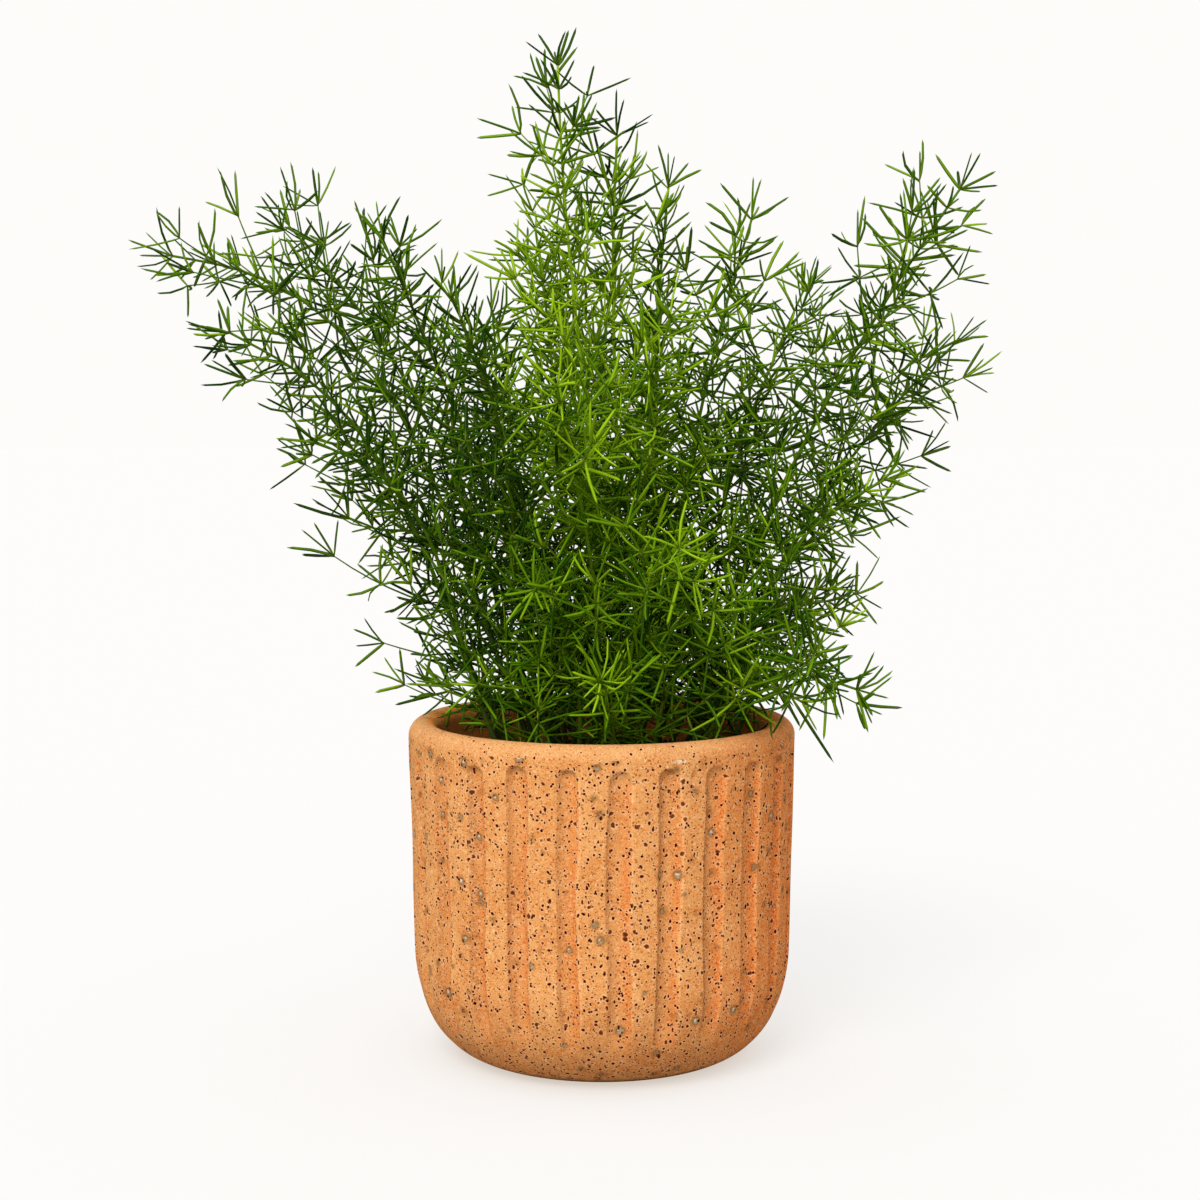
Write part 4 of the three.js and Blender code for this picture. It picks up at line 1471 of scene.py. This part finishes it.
@dataclass
class LeafyStem:
    """One arching stem with its shoots and their whorls of needles."""

    line: StemLine
    clearance: Clearance
    foot_radius: float = 1.25 * MM
    tip_radius: float = 0.5 * MM
    root: float = 18 * MM
    rows: int = 44
    shoot_rows: int = 7
    shoot_radius: float = 0.42 * MM
    shortest: float = 9 * MM
    needle_width: float = 0.57 * MM
    top_share: float = 0.3
    top_spacing: float = 9.0 * MM

    NEEDLE = ((0, 0.18, 0.55, 0.9, 1), (0.55, 0.96, 1, 0.84, 0))
    FORK = Whorl((1, 3), (50, 95), (11, 18))
    SHOOT_END = Whorl((4, 6), (10, 76), (13, 19))
    TOP = Whorl((4, 6), (38, 84), (12, 17))

    def tone(self, t: float) -> float:
        """Returns the foliage's tone at t."""
        foot, tip = self.line.growth.age.value
        return foot + (tip - foot) * t**3

    def stem(self, stack: Stack) -> None:
        """Adds the stem itself, from its root in the soil to its tip.

        Args:
            stack: The stack to add to.
        """
        line = self.line
        start = line.at(0)
        shares = np.linspace(0, line.tip, self.rows - 1)
        frames = [Frame(start.centre - start.ahead * self.root, start.ahead, start.side, start.other)]
        frames += [line.at(float(t)) for t in shares]
        share = np.clip(np.concatenate([[0], shares]), 0, 1)
        radii = self.foot_radius + (self.tip_radius - self.foot_radius) * share**0.8
        wood = smooth(1 - share / 0.4)
        self.tubes(stack, 8, [frames], radii[None], self.tone(0.6), wood)

    def tubes(
        self, stack: Stack, sides: int, runs: list[list[Frame]], radii: Array, tone: float, wood: Array
    ) -> None:
        """Adds tubes that follow runs of places.

        Args:
            stack: The stack to add to.
            sides: How many sides a tube has.
            runs: The places that each tube runs through.
            radii: Its radius at each place.
            tone: The tubes' tone.
            wood: How woody they are at each place.
        """
        rows = len(runs[0])
        shape = Shape.column(sides, np.linspace(0, 1, rows), np.ones(rows))
        row = np.round(shape.corners[:, 2] * (rows - 1)).astype(int)
        frames = np.array([[(place.centre, place.side, place.other) for place in run] for run in runs])
        centre, side, other = np.moveaxis(frames[:, row], 2, 0)
        x, y = np.split(shape.corners[None, :, :2], 2, axis=2)
        places = centre + radii[:, row, None] * (x * other + y * side)
        along, woody = np.full(places.shape[:2], 0.22), np.broadcast_to(wood[row], places.shape[:2])
        stack.add(shape, places, tone=np.full(len(runs), tone), along=along, wood=woody)

    def shoots(self) -> list[Shoot]:
        """Finds the stem's shoots that are long enough and have room.

        Returns:
            The shoots.
        """
        every = [self.line.shoot(number) for number in range(self.line.shoots)]
        kept = []
        for shoot in (s for s in every if s.length > self.shortest):
            marks = np.array([shoot.at(s).centre for s in (0.2, 0.6, 1.0)])
            if self.clearance.of(marks[:-1], marks[1:]).all():
                kept.append(shoot)
        return kept

    def leaves(self, shoots: list[Shoot]) -> Needles:
        """Puts the whorls of needles on the stem and its shoots.

        Args:
            shoots: The shoots.

        Returns:
            The needles.
        """
        line, clad = self.line, self.line.growth.habit.value
        rng = np.random.default_rng([line.index, 3])
        needles = Needles(rng)
        for shoot in shoots:
            tone = self.tone(shoot.share) + rng.normal(0, 0.08)
            needles.whorl(line.at(shoot.share), self.FORK, tone)
            nodes = max(2, round(shoot.length / clad.spacing))
            for k in range(1, nodes + 1):
                s = (k - rng.uniform(0.0, 0.3)) / nodes
                if k == nodes:
                    needles.whorl(shoot.at(1.0), self.SHOOT_END, tone + 0.06)
                else:
                    needles.whorl(shoot.at(s), clad.along, tone)
        top = line.tip * line.length
        for back in np.arange(0, self.top_share * line.length, self.top_spacing):
            t = (top - back) / line.length
            kind, lighter = (clad.end, 0.1) if back == 0 else (self.TOP, 0.06)
            needles.whorl(line.at(t), kind, self.tone(t) + lighter)
        return needles

    def build(self) -> Piece:
        """Makes the stem with its shoots and needles as one piece.

        Returns:
            The piece.
        """
        stack = Stack()
        self.stem(stack)
        shoots = self.shoots()
        marks = np.linspace(0, 1, self.shoot_rows)
        runs = [[shoot.at(float(s)) for s in marks] for shoot in shoots]
        radii = np.array([self.shoot_radius * (1.15 - 0.5 * marks)] * len(runs))
        self.tubes(stack, 5, runs, radii, self.tone(0.75), np.zeros(self.shoot_rows))
        shape = Shape.column(4, *self.NEEDLE)
        self.leaves(shoots).stand(self.clearance, shape, self.needle_width, stack)
        return stack.piece(f"fronds_{self.line.growth.name}")

    def dress(self, piece: Piece, material: bpy.types.Material) -> None:
        """Gives the stem its finish and its place on the frame.

        Args:
            piece: The stem.
            material: The foliage's material.
        """
        piece.data.materials.append(material)
        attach(piece, BODY)
        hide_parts(f"leafy_stem_{self.line.growth.name}")


@dataclass
class Studio:
    """The pale floor, the soft lights and the camera."""

    pale: Triple = (0.985, 0.975, 0.955)
    fill: Triple = (0.99, 0.935, 0.84)
    floor_pale: Triple = (0.99, 0.984, 0.979)
    # Colour of the painted contact shadow in the floor's glow.
    painted_contact_shadow: Triple = (0.79, 0.68, 0.58)
    contact_reach: float = 220 * MM
    floor_bounce: float = 0.35
    floor_shade: float = 0.13
    floor_glow: float = 0.8
    ambient: float = 0.9
    key_strength: float = 2.7
    key_softness: float = math.radians(28)
    key_colour: Triple = (1.0, 0.98, 0.95)
    key_from: Triple = (-0.27, -0.74, 0.9)
    floor_radius: float = 14.0
    camera_place: Triple = (-0.0008, -0.8964, 0.268)
    camera_target: Triple = (-0.0008, 0.0, 0.188)
    lens: float = 65.2

    def floor(self) -> None:
        """Makes the floor, which glows to meet the background, and paints a contact shadow round the pot.
        """
        bm = bmesh.new()
        bmesh.ops.create_circle(bm, cap_ends=True, segments=96, radius=self.floor_radius)
        floor = finished(bm, "studio_floor")
        material, nodes, shader = new_material("studio_floor", 1.0, 0.0)
        seen = nodes.add("ShaderNodeLightPath").outputs["Is Camera Ray"]
        nodes.feed(shader["Base Color"], nodes.mix(seen, (self.floor_bounce,) * 3, (self.floor_shade,) * 3))
        reach = {"Distance": self.contact_reach}
        # The floor's glow turns darker and browner where the pot hides the sky: a painted contact shadow.
        free = nodes.add("ShaderNodeAmbientOcclusion", reach, samples=4).outputs["AO"]
        covered = nodes.math("POWER", nodes.math("SUBTRACT", 1.0, free, clamp=True), 2.0)
        nodes.feed(shader["Emission Color"], nodes.mix(covered, self.floor_pale, self.painted_contact_shadow))
        nodes.feed(shader["Emission Strength"], nodes.times(seen, self.floor_glow))
        floor.data.materials.append(material)

    def sky(self) -> None:
        """Sets an even pale surround, which lights less than it shows."""
        world = bpy.data.worlds.new("studio")
        world.use_nodes = True
        nodes, background = Nodes(world.node_tree), world.node_tree.nodes["Background"].inputs
        seen = nodes.add("ShaderNodeLightPath").outputs["Is Camera Ray"]
        nodes.feed(background["Color"], nodes.mix(seen, self.fill, self.pale))
        shown = nodes.times(seen, 1 - self.ambient)
        nodes.feed(background["Strength"], nodes.math("ADD", shown, self.ambient))
        bpy.context.scene.world = world

    def key(self) -> None:
        """Adds the soft main light, from above and a little left of the camera."""
        lamp = bpy.data.lights.new("key", "SUN")
        lamp.energy, lamp.angle, lamp.color = self.key_strength, self.key_softness, self.key_colour
        linked("key", lamp).rotation_euler = Vector(self.key_from).to_track_quat("Z", "Y").to_euler()

    def camera(self) -> None:
        """Adds the camera and makes it the scene's own."""
        data = bpy.data.cameras.new("camera")
        data.lens = self.lens
        camera = linked("camera", data)
        camera.location = self.camera_place
        look = Vector(self.camera_target) - Vector(self.camera_place)
        camera.rotation_euler = look.to_track_quat("-Z", "Y").to_euler()
        bpy.context.scene.camera = camera

    def build(self) -> None:
        """Sets the whole studio up."""
        bpy.context.scene.view_settings.view_transform = "Standard"
        self.sky()
        self.floor()
        self.key()
        self.camera()


def main() -> None:
    """Builds the pieces in order and reports each."""
    logging.basicConfig(level=logging.INFO, format="%(name)s: %(message)s", stream=sys.stdout, force=True)
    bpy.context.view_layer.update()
    Studio().build()
    specks = specks_group()
    pot = Pot()
    piece = pot.build()
    pot.dress(piece, specks)
    log.info("pot: %d faces", len(piece.data.polygons))
    soil = PottingSoil(pot)
    pieces = soil.build()
    soil.dress(pieces)
    log.info("soil: %s", {part: len(made.data.polygons) for part, made in pieces.items()})
    clearance = Clearance(pot, soil.top)
    foliage = FoliageFinish().material()
    for index, growth in enumerate(GROWTHS):
        stem = LeafyStem(StemLine(growth, index, soil.top), clearance)
        made = stem.build()
        stem.dress(made, foliage)
        log.info("%s: %d faces", made.name, len(made.data.polygons))


if __name__ == "__main__":
    main()
